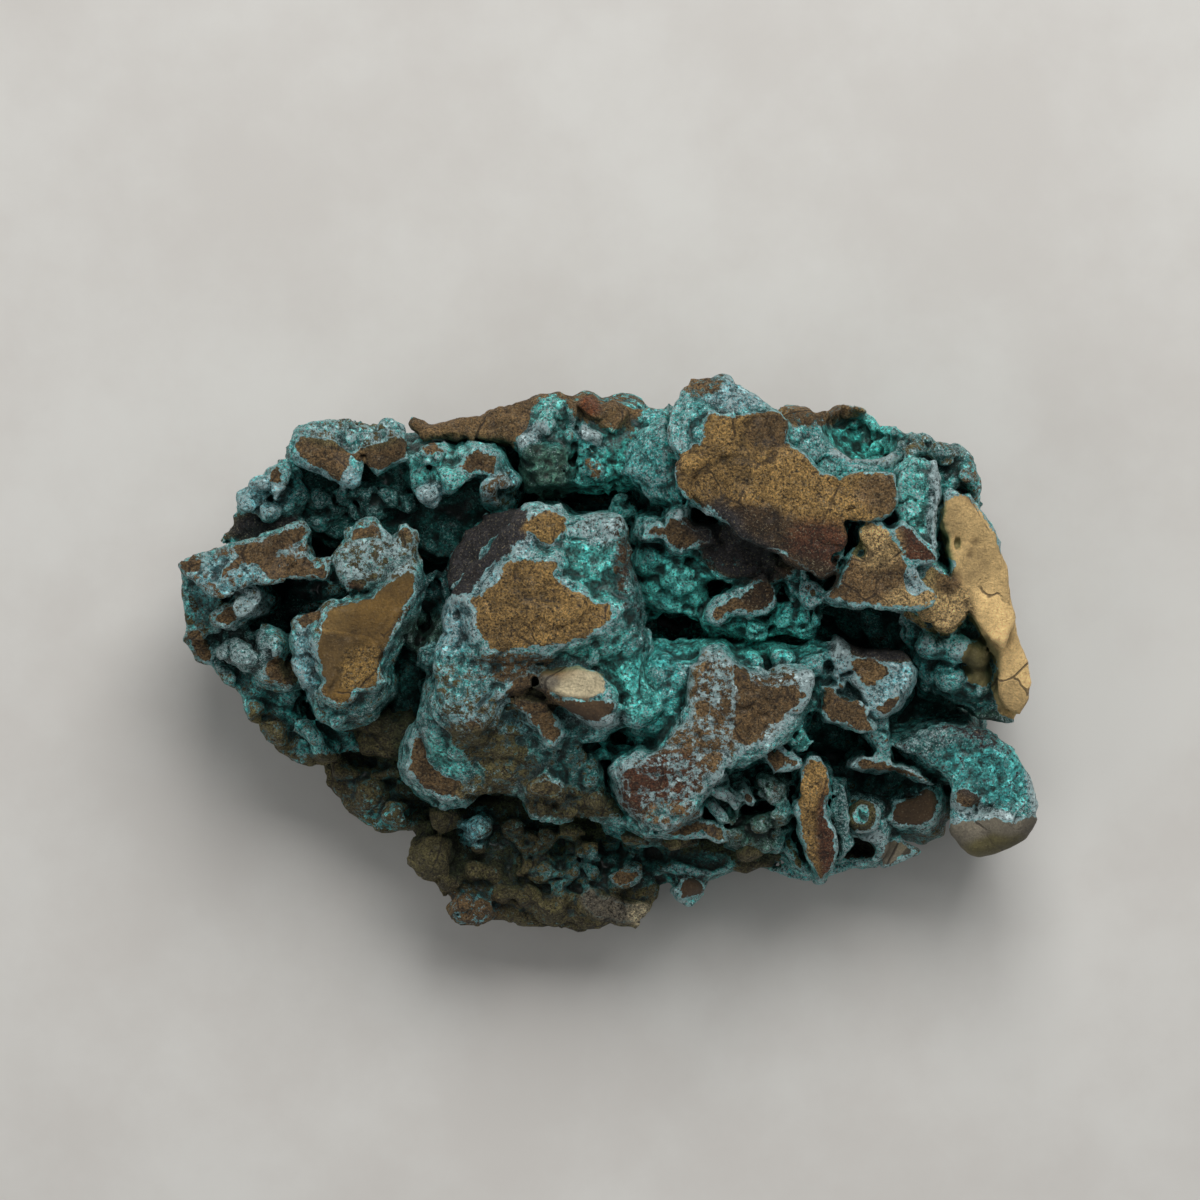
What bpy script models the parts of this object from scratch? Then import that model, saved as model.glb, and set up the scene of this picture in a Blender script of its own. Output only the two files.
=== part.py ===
"""Chrysocolla specimen: one lump of boxwork rock, lying on its flattest side.

The rock is a low core with blocks, ledges and knobs grown out of it. Each block is a plan outline with
a tilted top that stands in a little from its foot. All of them are fused by a voxel remesh, roughened,
thinned to broad broken facets and cut flat where the rock rests.

Frame: +Z up, +X along the rock's length, origin under the middle of the rock, on the resting plane.
Lengths in the tables are millimetres.
"""

import math
from typing import NamedTuple

import bmesh
import bpy
from mathutils import Matrix, Vector

MM = 0.001

CORE_TOP = 14.0  # level of the cavity floors
CORE_BELT = 8.5  # level where the core is widest
CORE_FOOT = -3.0  # the core starts under the resting plane and is cut flat there
CORE_UNDERCUT = 7.0  # how far the core draws in from its belt to its foot
SHOULDER = 2.0  # how far under its top a block is at its widest, as a share of its taper
WELD = 1e-3  # points nearer than this are one
BLOCK_FOOT = 5.0  # blocks reach this far down into the core
DRAW_IN = 0.0055  # share by which a block nears the middle of the rock, per millimetre down
FLANK_LUMPS = 30  # swellings round the flanks
LUMP_LEVELS = (5.0, 13.0)  # lowest and highest centre of a swelling
LUMP_RADIUS = 4.0
LUMP_INSET = 4.6  # how far the swellings stand in from the core's outline
FLANK_PITS = 13  # hollows between them
PIT_LEVELS = (9.0, 15.0)
PIT_RADIUS = 2.4
PIT_INSET = -1.0
PIT_PHASE = 0.35  # where round the rock the first hollow falls
FUSE_VOXEL = 0.8  # grid that fuses the blocks into one body
ROUGH_COARSE = (6.5, 2.0)  # size and height of the broad roughness
ROUGH_FINE = (2.6, 0.7)  # size and height of the fine roughness
FACET_SHARE = 0.122  # share of the fused faces kept, which leaves broad facets
REST_CUT = 0.0  # level of the flat that the rock rests on
GROUND_DEPTH = 20.0  # the slab that cuts the flat
GROUND_SIDE = 140.0
ROCK_NAME = "chrysocolla_specimen"


class Block(NamedTuple):
    """A block: plan corners at its foot, its top's height, how far the top stands in, and the top's rise."""

    outline: tuple
    top: float
    taper: float = 1.0
    rise: tuple = (0.0, 0.0)  # rise of the top per millimetre along X and Y
    foot: float = BLOCK_FOOT


class Knob(NamedTuple):
    """A rounded swelling: its centre, its half lengths along X, Y and Z, and its turn about Z in degrees."""

    centre: tuple
    radii: tuple
    turn: float = 0.0


CORE_OUTLINE = (
    (-40.6, 6.0), (-37.0, 13.2), (-31.5, 21.0), (-21.1, 22.6), (-5.1, 25.2), (6.9, 25.8),
    (18.9, 24.2), (28.9, 21.6), (35.5, 17.6), (38.2, 10.0), (38.8, 2.0), (37.4, -4.2),
    (32.6, -8.0), (33.0, -14.0), (28.6, -18.6), (18.9, -21.8), (8.9, -22.6), (3.6, -26.0),
    (-9.1, -27.0), (-15.8, -25.0), (-20.2, -19.0), (-26.1, -13.4), (-34.6, -7.2), (-39.8, 0.0),
)

CENTRE = {
    "centre block": Block(
        ((-11.4, 11.2), (-9.6, 13.8), (-7.9, 15.2), (-5.9, 15.3), (-4.5, 14.2), (1.0, 14.3), (2.2, 9.0),
         (3.4, 3.2), (2.7, 0.8), (-0.1, -0.8), (-6.0, -2.4), (-10.0, -4.2), (-13.0, -7.0), (-16.0, -6.6),
         (-17.6, -3.0), (-17.4, 2.0), (-17.0, 4.8), (-15.6, 7.2), (-13.3, 9.7)),
        top=36.6, taper=1.8, rise=(0.03, 0.10)),
    "centre south slope": Block(
        ((-18.1, -3.0), (-17.1, 0.0), (-9.1, 1.0), (0.9, 0.5), (2.9, -2.0), (2.5, -6.0), (-1.1, -7.5),
         (-3.6, -8.5), (-4.6, -11.0), (-1.1, -13.0), (2.9, -16.0), (1.4, -17.4), (-2.1, -16.2),
         (-7.6, -15.5), (-9.6, -13.5), (-13.1, -11.2), (-16.6, -7.8), (-18.7, -4.8)),
        top=28.8, taper=1.6, rise=(0.0, 0.46)),
    "cream knob": Block(
        ((-6.5, -0.8), (-3.1, 0.0), (0.6, -0.8), (1.9, -3.0), (2.9, -5.6), (1.1, -6.3), (-1.1, -5.7),
         (-4.6, -5.2), (-6.7, -4.0)),
        top=34.8, taper=0.6, rise=(0.0, 0.08), foot=22.0),
    "brown tongue": Block(
        ((-10.8, -3.0), (-9.1, -3.0), (-6.6, -3.6), (-5.1, -5.5), (-4.9, -7.5), (-5.9, -8.8),
         (-7.6, -7.8), (-8.6, -5.5), (-10.3, -4.3)),
        top=32.0, taper=0.5, rise=(0.0, 0.3), foot=20.0),
    "west cheek": Block(
        ((-18.7, -3.0), (-17.1, -1.2), (-14.1, -1.0), (-12.1, -3.0), (-11.1, -5.5), (-13.1, -8.0),
         (-15.6, -8.5), (-17.6, -6.5)),
        top=32.0, taper=1.4, rise=(0.1, 0.25)),
    "rimmed pocket": Block(
        ((-8.6, -12.2), (-7.0, -11.6), (-5.6, -10.9), (-3.9, -12.4), (-3.6, -13.9), (-6.6, -14.0)),
        top=28.0, taper=0.4, rise=(0.0, 0.3), foot=16.0),
}

SOUTH = {
    "south block": Block(
        ((8.9, 0.0), (11.1, 1.2), (13.4, -0.8), (15.4, -1.2), (17.9, -0.8), (19.5, -2.0), (19.7, -4.5),
         (18.9, -6.0), (16.4, -8.5), (12.9, -10.5), (10.4, -12.5), (8.9, -14.5), (7.4, -17.0),
         (4.4, -17.4), (0.9, -15.5), (-1.1, -13.0), (-1.5, -11.0), (1.4, -9.5), (3.9, -8.4),
         (5.6, -6.8), (7.9, -3.0)),
        top=31.6, taper=0.8, rise=(0.06, 0.20)),
    "turquoise saddle": Block(
        ((2.4, 1.6), (6.9, 2.0), (12.9, 2.0), (18.9, 1.0), (21.4, 0.0), (20.9, -3.0), (18.9, -3.5),
         (16.9, -1.0), (10.4, -0.6), (8.4, -3.6), (5.9, -7.6), (1.9, -7.6), (2.4, -3.0)),
        top=26.0, taper=1.0),
    "east plate": Block(
        ((20.8, -2.1), (22.7, -2.4), (25.2, -3.5), (25.7, -5.2), (25.8, -7.2), (24.0, -7.6),
         (22.4, -6.4), (20.8, -5.6), (20.3, -4.0)),
        top=29.0, taper=0.4, rise=(0.0, 0.1)),
    "pale plate": Block(
        ((22.0, 0.8), (23.0, 1.8), (25.0, 0.6), (27.0, 0.0), (29.5, -1.0), (29.6, -3.6), (27.6, -5.1),
         (25.6, -5.0), (24.9, -3.4), (23.0, -2.8), (22.4, -1.2)),
        top=28.2, taper=0.6, rise=(0.05, 0.1)),
    "blade": Block(
        ((19.4, -9.8), (20.9, -9.3), (21.8, -11.5), (22.1, -14.0), (22.7, -17.5), (22.8, -20.5),
         (22.1, -22.3), (20.6, -22.1), (20.2, -19.8), (18.8, -17.0), (18.3, -14.0), (18.6, -11.5)),
        top=26.0, taper=0.5, rise=(0.0, 0.25)),
    "small wedge": Block(
        ((15.0, -9.2), (16.8, -8.5), (18.0, -9.6), (18.9, -10.8), (17.4, -11.3), (15.6, -11.8),
         (14.8, -10.6)),
        top=27.5, taper=0.3),
    "south flank": Block(
        ((8.6, -13.6), (11.4, -11.4), (14.4, -11.6), (18.2, -11.0), (18.6, -17.6), (16.2, -19.4),
         (10.6, -19.0), (4.4, -18.6), (-4.6, -17.0), (-2.0, -14.0), (5.0, -16.0)),
        top=20.5, taper=1.6, rise=(0.0, 0.2)),
    "curled rim": Block(
        ((12.6, -13.2), (14.0, -11.8), (15.4, -12.6), (15.4, -14.4), (13.6, -14.9), (11.8, -14.4)),
        top=24.0, taper=0.5),
    "west lens": Block(
        ((-20.0, -8.4), (-18.6, -6.4), (-17.1, -7.4), (-15.6, -9.5), (-13.4, -12.6), (-15.4, -14.3),
         (-18.1, -13.6), (-20.0, -11.6), (-20.4, -10.0)),
        top=25.5, taper=0.5, rise=(0.05, 0.1)),
}

NORTH_EAST = {
    "north-east block": Block(
        ((5.3, 22.4), (7.0, 23.4), (9.6, 24.6), (16.0, 24.6), (17.6, 24.4), (17.8, 21.5), (19.0, 20.0),
         (21.0, 19.0), (25.9, 19.3), (28.2, 19.0), (28.7, 16.0), (28.3, 14.0), (25.6, 13.0),
         (23.8, 10.4), (22.4, 8.2), (20.4, 7.9), (18.6, 8.8), (16.4, 10.4), (13.9, 11.0),
         (12.0, 11.8), (10.6, 13.6), (8.2, 14.8), (6.4, 16.2), (5.2, 19.0)),
        top=37.0, taper=0.8, rise=(0.02, 0.06)),
    "north-east wall": Block(
        ((28.0, 19.4), (31.6, 20.6), (33.0, 18.0), (32.9, 13.0), (33.0, 8.0), (32.6, 4.0), (29.4, 4.6),
         (23.9, 5.2), (24.0, 12.0), (27.4, 13.4)),
        top=32.8, taper=0.9, rise=(-0.02, 0.02)),
    "charcoal front": Block(
        ((8.4, 12.4), (11.0, 13.6), (15.0, 12.0), (20.0, 9.6), (21.6, 8.6), (20.8, 6.2), (17.0, 6.4),
         (14.0, 7.6), (10.2, 8.2), (8.2, 10.0)),
        top=29.8, taper=1.0, rise=(0.02, 0.25)),
    "north shoulder": Block(
        ((5.3, 22.0), (6.1, 25.5), (8.2, 27.5), (10.1, 28.0), (12.4, 27.2), (15.4, 25.8), (17.4, 24.8),
         (12.0, 23.4), (9.0, 21.0)),
        top=35.2, taper=1.2, rise=(0.05, -0.38)),
    "tan facet": Block(
        ((24.7, 14.0), (26.9, 13.0), (28.1, 11.5), (28.9, 10.0), (30.6, 7.4), (32.9, 4.8), (28.9, 5.6),
         (21.9, 6.3), (22.9, 8.5), (23.9, 11.0)),
        top=35.2, taper=0.3, rise=(0.03, 0.16), foot=24.0),
    "red block": Block(
        ((27.9, 12.5), (29.4, 13.3), (30.9, 12.0), (31.9, 10.8), (31.7, 9.8), (29.4, 9.5), (28.2, 10.8)),
        top=35.4, taper=0.3, rise=(-0.1, 0.1), foot=24.0),
    "west flank": Block(
        ((2.4, 22.0), (6.3, 24.0), (7.2, 18.0), (8.6, 13.6), (9.2, 10.4), (5.2, 9.8), (2.9, 13.0),
         (1.4, 17.0), (1.8, 20.0)),
        top=28.0, taper=1.4, rise=(0.35, 0.0)),
    "west plate": Block(
        ((3.4, 13.8), (5.7, 15.5), (8.9, 15.0), (10.1, 13.0), (10.1, 12.0), (8.9, 11.2), (6.9, 10.5),
         (5.7, 11.8), (3.4, 12.0)),
        top=33.0, taper=0.3, rise=(0.1, 0.0), foot=20.0),
    "hanging plate": Block(
        ((10.1, 4.0), (9.7, 4.8), (12.4, 7.0), (15.1, 8.5), (16.2, 7.0), (16.1, 5.2), (13.9, 4.2),
         (11.4, 3.8)),
        top=30.0, taper=0.4, rise=(0.0, 0.15)),
    "south lip": Block(
        ((17.0, 9.4), (19.4, 8.6), (21.4, 6.4), (21.0, 5.0), (18.6, 4.0), (15.6, 5.4), (16.0, 8.0)),
        top=28.0, taper=1.2),
}

NORTH_WEST = {
    "north-west block": Block(
        ((-33.2, 20.5), (-33.0, 22.4), (-31.6, 24.2), (-29.1, 24.8), (-26.6, 24.4), (-23.6, 24.0),
         (-21.3, 23.9), (-20.3, 22.8), (-20.5, 21.0), (-21.1, 19.5), (-23.1, 18.2), (-24.6, 18.5),
         (-26.6, 17.5), (-28.6, 18.2), (-30.6, 19.0)),
        top=30.0, taper=0.7, rise=(0.0, -0.1)),
    "back ridge": Block(
        ((-21.1, 23.5), (-19.9, 24.2), (-17.1, 23.8), (-14.1, 24.8), (-11.1, 25.2), (-9.1, 26.2),
         (-5.1, 26.5), (-1.1, 26.0), (2.9, 25.5), (5.7, 25.2), (5.7, 22.5), (0.4, 21.5), (-2.1, 23.0),
         (-5.1, 22.5), (-8.1, 21.0), (-9.9, 20.0), (-13.1, 20.5), (-17.1, 20.5), (-19.6, 21.0)),
        top=25.0, taper=1.0, rise=(0.0, -0.25)),
    "ringed knob": Block(
        ((-20.6, 19.0), (-19.1, 21.0), (-16.1, 21.5), (-15.5, 19.0), (-15.6, 17.0), (-17.6, 15.5),
         (-19.1, 16.0), (-20.3, 17.5)),
        top=28.5, taper=1.1),
    "mottled plate": Block(
        ((-15.6, 19.8), (-13.6, 21.3), (-10.6, 21.0), (-9.7, 19.5), (-9.9, 17.0), (-11.1, 15.8),
         (-12.4, 16.3), (-13.1, 18.2), (-15.3, 18.5)),
        top=28.5, taper=0.6),
    "far west knob": Block(
        ((-37.4, 16.0), (-36.1, 18.0), (-34.9, 19.7), (-32.1, 20.0), (-31.1, 18.0), (-32.1, 15.0),
         (-34.6, 13.5), (-36.6, 14.2)),
        top=22.0, taper=1.0, rise=(0.15, 0.0)),
    "dark shoulder": Block(
        ((-37.9, 15.5), (-34.6, 15.0), (-32.6, 13.5), (-31.0, 14.4), (-28.0, 12.0), (-36.0, 10.4),
         (-39.0, 12.0)),
        top=19.5, taper=1.0, rise=(0.08, 0.0)),
    "bead floor": Block(
        ((-31.0, 18.6), (-20.0, 17.6), (-16.0, 15.6), (-16.6, 12.0), (-20.6, 12.0), (-31.0, 13.0)),
        top=20.0, taper=1.6),
}

WEST = {
    "west ledge": Block(
        ((-44.0, 10.8), (-39.8, 11.6), (-35.1, 12.9), (-31.1, 14.0), (-30.2, 13.4), (-29.3, 10.2),
         (-27.8, 10.8), (-27.3, 9.0), (-28.1, 8.2), (-30.6, 8.0), (-34.9, 7.8), (-37.1, 6.8),
         (-40.0, 6.4), (-44.2, 7.6)),
        top=30.0, taper=0.5, rise=(0.03, 0.0)),
    "west foot": Block(
        ((-43.5, 8.0), (-39.0, 8.0), (-35.1, 7.4), (-34.7, 5.8), (-36.6, 4.5), (-39.6, 2.8),
         (-41.3, 3.6), (-43.2, 5.6)),
        top=27.5, taper=0.8, rise=(-0.05, 0.1)),
    "speckled block": Block(
        ((-27.3, 11.5), (-25.9, 13.3), (-23.6, 13.7), (-21.9, 13.0), (-20.6, 13.8), (-19.1, 12.8),
         (-19.3, 10.0), (-21.1, 8.8), (-23.3, 7.0), (-26.1, 6.2), (-27.1, 8.0)),
        top=31.0, taper=0.9),
    "amber plate": Block(
        ((-20.6, 9.7), (-19.4, 9.5), (-19.1, 6.2), (-20.3, 5.0), (-21.1, 2.0), (-22.6, -0.5),
         (-23.3, -3.0), (-24.6, -3.4), (-25.9, -4.4), (-26.9, -4.9), (-28.9, -3.5), (-29.3, 0.0),
         (-28.6, 3.0), (-27.6, 5.2), (-25.1, 6.0), (-22.6, 8.0)),
        top=33.0, taper=0.2, rise=(0.1, 0.06)),
    "amber collar": Block(
        ((-31.5, 4.7), (-27.6, 5.8), (-24.0, 0.0), (-22.8, -3.2), (-24.1, -5.6), (-26.6, -6.8),
         (-29.3, -6.2), (-31.0, -3.7), (-31.9, 1.0)),
        top=30.0, taper=0.8, rise=(0.05, 0.12)),
    "lower west slope": Block(
        ((-43.1, 2.0), (-41.1, 4.0), (-37.1, 2.5), (-33.6, 3.5), (-31.3, 2.0), (-31.1, -2.5),
         (-34.6, -3.5), (-37.6, -2.5), (-40.6, -0.8), (-42.6, 1.0)),
        top=22.4, taper=1.2, rise=(0.2, 0.2)),
    "turquoise foot": Block(
        ((-36.9, -4.5), (-34.9, -3.5), (-31.1, -3.0), (-30.6, -5.5), (-28.6, -7.5), (-27.3, -9.2),
         (-29.1, -10.2), (-31.6, -11.0), (-34.1, -9.0), (-36.3, -6.8)),
        top=18.8, taper=1.2, rise=(0.12, 0.12), foot=4.0),
    "layered slope": Block(
        ((-30.6, -4.0), (-26.6, -6.4), (-23.1, -4.0), (-19.1, -4.0), (-17.1, -8.0), (-16.1, -14.0),
         (-19.1, -14.0), (-22.6, -11.5), (-26.6, -9.0), (-29.1, -7.0)),
        top=17.5, taper=1.4, rise=(0.05, 0.1)),
    "inner spur": Block(
        ((-20.4, 4.6), (-17.4, 3.4), (-17.0, 0.0), (-18.6, -1.6), (-21.4, 1.4)),
        top=22.0, taper=0.8),
    "grey wedge": Block(
        ((-16.6, 7.4), (-15.8, 10.6), (-13.6, 13.2), (-10.6, 15.0), (-9.0, 14.8), (-9.4, 11.0),
         (-13.0, 6.8), (-15.4, 6.2)),
        top=26.6, taper=0.7, rise=(0.5, -0.4)),
}

BASE = {
    "south-west base": Block(
        ((-29.1, -10.5), (-26.6, -9.5), (-22.1, -11.0), (-18.1, -14.0), (-14.1, -14.0), (-13.1, -17.0),
         (-17.1, -18.6), (-21.1, -18.2), (-22.6, -18.0), (-25.1, -16.8), (-27.2, -13.6)),
        top=12.0, taper=1.6, rise=(0.05, 0.1), foot=4.0),
    "south base": Block(
        ((-21.1, -14.5), (-13.1, -14.0), (-5.1, -15.5), (2.9, -17.0), (5.4, -19.0), (5.6, -24.0),
         (4.4, -26.5), (-1.1, -28.0), (-9.1, -27.9), (-15.1, -26.8), (-16.9, -25.0), (-18.1, -23.0),
         (-20.6, -21.0), (-21.2, -18.5)),
        top=9.0, taper=1.8, rise=(0.0, 0.2), foot=3.5),
    "base corner knob": Block(
        ((-16.4, -24.5), (-15.1, -23.5), (-13.1, -23.3), (-11.6, -24.5), (-11.6, -26.5), (-14.1, -27.0),
         (-15.8, -26.2)),
        top=14.6, taper=0.7, foot=4.0),
    "base south rim": Block(
        ((-3.1, -24.0), (-1.1, -23.0), (2.9, -23.8), (4.5, -25.0), (2.9, -27.2), (-1.1, -27.8)),
        top=13.6, taper=0.6, foot=4.0),
    "base step": Block(
        ((-0.8, -22.4), (-0.2, -20.8), (3.0, -20.2), (4.5, -20.6), (5.0, -22.0), (3.4, -23.6),
         (-0.2, -23.4)),
        top=15.6, taper=0.5, foot=4.0),
    "base south-east": Block(
        ((2.9, -18.0), (12.0, -17.6), (13.2, -20.2), (11.0, -22.4), (8.0, -24.4), (4.9, -23.4)),
        top=14.4, taper=1.4, foot=3.0),
}

SOUTH_EAST = {
    "finger": Block(
        ((26.4, -7.0), (29.9, -6.2), (34.9, -6.2), (38.9, -7.0), (41.9, -9.5), (43.4, -12.5),
         (43.6, -15.0), (42.9, -17.5), (39.9, -19.5), (36.9, -20.0), (34.4, -18.2), (32.4, -16.8),
         (33.7, -14.0), (32.4, -11.0), (28.9, -10.0)),
        top=22.6, taper=2.2, rise=(-0.06, 0.06), foot=8.0),
    "brown bridge": Block(
        ((23.2, -10.0), (25.9, -9.0), (29.4, -10.0), (32.4, -11.2), (33.9, -12.5), (32.9, -13.5),
         (31.4, -11.9), (27.9, -11.6), (23.9, -11.6)),
        top=23.4, taper=0.3, rise=(-0.15, 0.2), foot=14.0),
    "stub arm": Block(
        ((22.4, -16.6), (25.6, -15.0), (25.6, -17.4), (22.6, -18.0)),
        top=20.0, taper=0.5),
    "amber step": Block(
        ((28.6, -14.5), (29.4, -13.5), (32.9, -12.7), (33.8, -14.0), (32.4, -16.5), (30.4, -17.2),
         (28.7, -16.8)),
        top=18.5, taper=0.3),
    "south-east shelf": Block(
        ((16.4, -21.0), (17.9, -18.0), (22.4, -19.0), (26.9, -18.0), (28.9, -17.8), (31.1, -19.0),
         (30.4, -20.2), (25.9, -22.0), (22.4, -23.5), (18.9, -23.8), (16.9, -22.5)),
        top=12.0, taper=0.8, foot=4.0),
    "bridge wall": Block(
        ((23.0, -7.6), (26.6, -6.4), (30.0, -7.0), (29.0, -10.6), (23.6, -10.4)),
        top=20.0, taper=1.0),
}

EAST = {
    "vug lump": Block(
        ((17.9, 24.5), (20.9, 25.2), (22.4, 25.8), (24.9, 25.5), (27.4, 23.5), (28.6, 22.8),
         (28.4, 19.5), (22.9, 19.2), (18.9, 20.5), (17.7, 22.0)),
        top=29.0, taper=0.7, rise=(0.0, -0.1)),
    "north-east crust": Block(
        ((27.9, 22.5), (29.9, 22.8), (32.9, 22.2), (35.9, 20.2), (36.7, 18.5), (37.3, 15.5),
         (38.9, 12.0), (39.7, 8.5), (39.4, 6.0), (35.9, 6.0), (32.0, 9.0), (28.6, 13.0), (28.0, 19.0)),
        top=29.2, taper=0.9, rise=(-0.12, 0.0)),
    "tan slab": Block(
        ((32.7, 16.2), (35.3, 16.7), (36.8, 14.2), (38.5, 11.7), (39.3, 7.0), (40.5, 2.4), (42.0, -0.6),
         (42.4, -3.0), (41.2, -5.5), (39.4, -4.5), (38.9, -1.0), (37.4, 2.0), (35.4, 6.0),
         (33.9, 8.0), (33.7, 10.0), (33.4, 13.0)),
        top=27.5, taper=0.4, rise=(-0.6, 0.35)),
    "teal wall": Block(
        ((30.0, 4.0), (34.4, 4.6), (36.4, 4.4), (38.9, 1.0), (40.2, -0.8), (39.0, -5.4), (36.4, -5.8),
         (34.6, -5.2), (32.6, -3.4), (30.0, -2.2)),
        top=24.2, taper=0.9, rise=(0.1, 0.3)),
}

KNOBS = (
    Knob((-6.6, 19.4, 19.5), (3.0, 4.1, 7.0), 12),  # western draped dome
    Knob((-1.0, 19.6, 19.0), (3.2, 4.0, 6.6), -8),  # eastern draped dome
    Knob((6.9, 7.0, 22.0), (3.3, 3.0, 5.5)),  # turquoise ball under the west plate
    Knob((4.2, 6.0, 20.0), (2.4, 2.8, 5.0)),
    Knob((14.8, 3.2, 19.6), (4.4, 2.2, 7.0)),  # balls in the central hollow
    Knob((19.4, 3.8, 20.0), (1.9, 1.8, 6.0)),
    Knob((25.6, -15.7, 16.0), (2.7, 2.6, 6.2)),  # ringed stub
    Knob((-13.0, -17.2, 12.0), (2.2, 2.1, 6.2)),  # base knobs
    Knob((-18.2, -19.8, 11.0), (3.0, 2.9, 6.0)),
    Knob((8.0, -23.0, 13.0), (1.9, 1.8, 5.0)),
    Knob((-7.0, -18.2, 13.0), (4.2, 2.2, 4.8)),
    Knob((17.0, -9.0, 20.0), (2.2, 2.0, 5.0)),
    Knob((-17.4, 12.2, 19.0), (2.2, 1.9, 5.0)),
    Knob((13.0, -16.6, 16.0), (2.6, 2.2, 5.4)),
    Knob((16.6, -15.6, 16.5), (2.3, 2.5, 5.0)),
    Knob((-22.0, 15.0, 18.0), (3.0, 2.4, 4.6)),  # balls on the bead floor
    Knob((-26.5, 15.4, 17.4), (2.6, 2.2, 4.4)),
    Knob((33.8, -1.0, 18.0), (2.8, 3.4, 5.0)),
    Knob((-26.0, -12.4, 9.0), (3.0, 2.4, 4.6)),
    Knob((-0.5, -9.2, 21.4), (3.6, 2.0, 4.5)),  # beads between the middle and the south block
)

HOLLOWS = (
    Knob((24.5, 22.3, 26.6), (3.9, 2.5, 8.4), -16),  # the vug
    Knob((26.0, 3.7, 22.4), (6.2, 1.8, 8.2), -6),  # slot under the north-east block
    Knob((33.0, -5.2, 18.0), (5.0, 1.8, 9.0), -8),  # cleft above the finger
    Knob((-34.0, 4.6, 22.0), (4.4, 1.9, 7.0), 14),  # cleft under the west ledge
    Knob((-21.0, -3.6, 22.0), (1.9, 5.0, 9.0), -14),  # cleft beside the amber plate
    Knob((26.6, -13.0, 17.0), (3.0, 1.6, 5.0), -5),  # hollow under the brown bridge
    Knob((4.0, 3.0, 22.0), (1.4, 3.0, 8.0)),  # cleft east of the centre block
    Knob((-4.4, 16.4, 21.0), (5.6, 1.4, 8.0), -3),  # gap under the draped domes
    Knob((-18.4, 5.0, 22.0), (1.2, 4.8, 8.5), -18),  # cleft west of the centre block
    Knob((-3.6, -22.0, 9.0), (2.2, 2.2, 4.0)),  # pits in the south base
    Knob((-18.0, -16.4, 12.0), (2.6, 1.4, 4.0), 10),
    Knob((22.0, -19.0, 14.0), (3.4, 1.5, 4.0), 10),
)


def clear_scene():
    """Empties the scene, so that only this object is in it."""
    for obj in list(bpy.data.objects):
        bpy.data.objects.remove(obj, do_unlink=True)


def new_collection(name):
    """A collection in the scene."""
    collection = bpy.data.collections.new(name)
    bpy.context.scene.collection.children.link(collection)
    return collection


def stone_material():
    """Turquoise crust over brown stone, as one plain finish."""
    material = bpy.data.materials.new("chrysocolla crust")
    material.use_nodes = True
    surface = material.node_tree.nodes["Principled BSDF"]
    surface.inputs["Base Color"].default_value = (0.12, 0.26, 0.24, 1.0)
    surface.inputs["Roughness"].default_value = 0.8
    surface.inputs["Metallic"].default_value = 0.0
    return material


def middle_of(outline):
    """The mean of an outline's corners."""
    return Vector((sum(x for x, _ in outline), sum(y for _, y in outline))) / len(outline)


def weld_and_split(mesh, level):
    """Welds a prism's caps to its sides and cuts a ring of edges round it at that level."""
    prism = bmesh.new()
    prism.from_mesh(mesh)
    bmesh.ops.remove_doubles(prism, verts=prism.verts, dist=WELD)
    every = [*prism.verts, *prism.edges, *prism.faces]
    bmesh.ops.bisect_plane(prism, geom=every, dist=WELD, plane_co=(0.0, 0.0, level), plane_no=(0.0, 0.0, 1.0))
    bmesh.ops.recalc_face_normals(prism, faces=prism.faces)
    prism.to_mesh(mesh)
    prism.free()


def filled_prism(outline, low, high):
    """A mesh in millimetres from a filled plan outline, extruded from low to high."""
    curve = bpy.data.curves.new("outline", "CURVE")
    curve.dimensions = "2D"
    curve.fill_mode = "BOTH"
    curve.extrude = (high - low) / 2
    spline = curve.splines.new("POLY")
    spline.points.add(len(outline) - 1)
    for point, (x, y) in zip(spline.points, outline):
        point.co = (x, y, 0.0, 1.0)
    spline.use_cyclic_u = True
    guide = bpy.data.objects.new("outline", curve)
    bpy.context.scene.collection.objects.link(guide)
    graph = bpy.context.evaluated_depsgraph_get()
    mesh = bpy.data.meshes.new_from_object(guide.evaluated_get(graph))
    bpy.data.objects.remove(guide)
    mesh.transform(Matrix.Translation((0.0, 0.0, (low + high) / 2)))
    return mesh


def add_block(body, block):
    """Adds one block to body: a prism with its foot and top edge drawn in and its top tilted."""
    mesh = filled_prism(block.outline, block.foot, block.top)
    shoulder = block.top - SHOULDER * max(block.taper, 0.0) - WELD
    weld_and_split(mesh, shoulder)
    middle = middle_of(block.outline)
    reach = sum((Vector(corner) - middle).length for corner in block.outline) / len(block.outline)
    shrink = 1.0 - block.taper / reach
    for vertex in mesh.vertices:
        if vertex.co.z < block.foot + WELD:
            vertex.co.xy *= 1.0 - DRAW_IN * (block.top - block.foot)
        if vertex.co.z < block.top - WELD:
            continue
        offset = (vertex.co.xy - middle) * shrink
        vertex.co.xy = middle + offset
        vertex.co.z += offset.x * block.rise[0] + offset.y * block.rise[1]
    body.from_mesh(mesh)
    bpy.data.meshes.remove(mesh)


def add_knob(body, knob):
    """Adds one rounded swelling to body."""
    place = (
        Matrix.Translation(knob.centre)
        @ Matrix.Rotation(math.radians(knob.turn), 4, "Z")
        @ Matrix.Diagonal((*knob.radii, 1.0))
    )
    bmesh.ops.create_icosphere(body, subdivisions=3, radius=1.0, matrix=place)


def object_from(body, name, collection):
    """A mesh object in metres from a body built in millimetres."""
    mesh = bpy.data.meshes.new(name)
    body.to_mesh(mesh)
    body.free()
    mesh.transform(Matrix.Scale(MM, 4))
    obj = bpy.data.objects.new(name, mesh)
    collection.objects.link(obj)
    return obj


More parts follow.
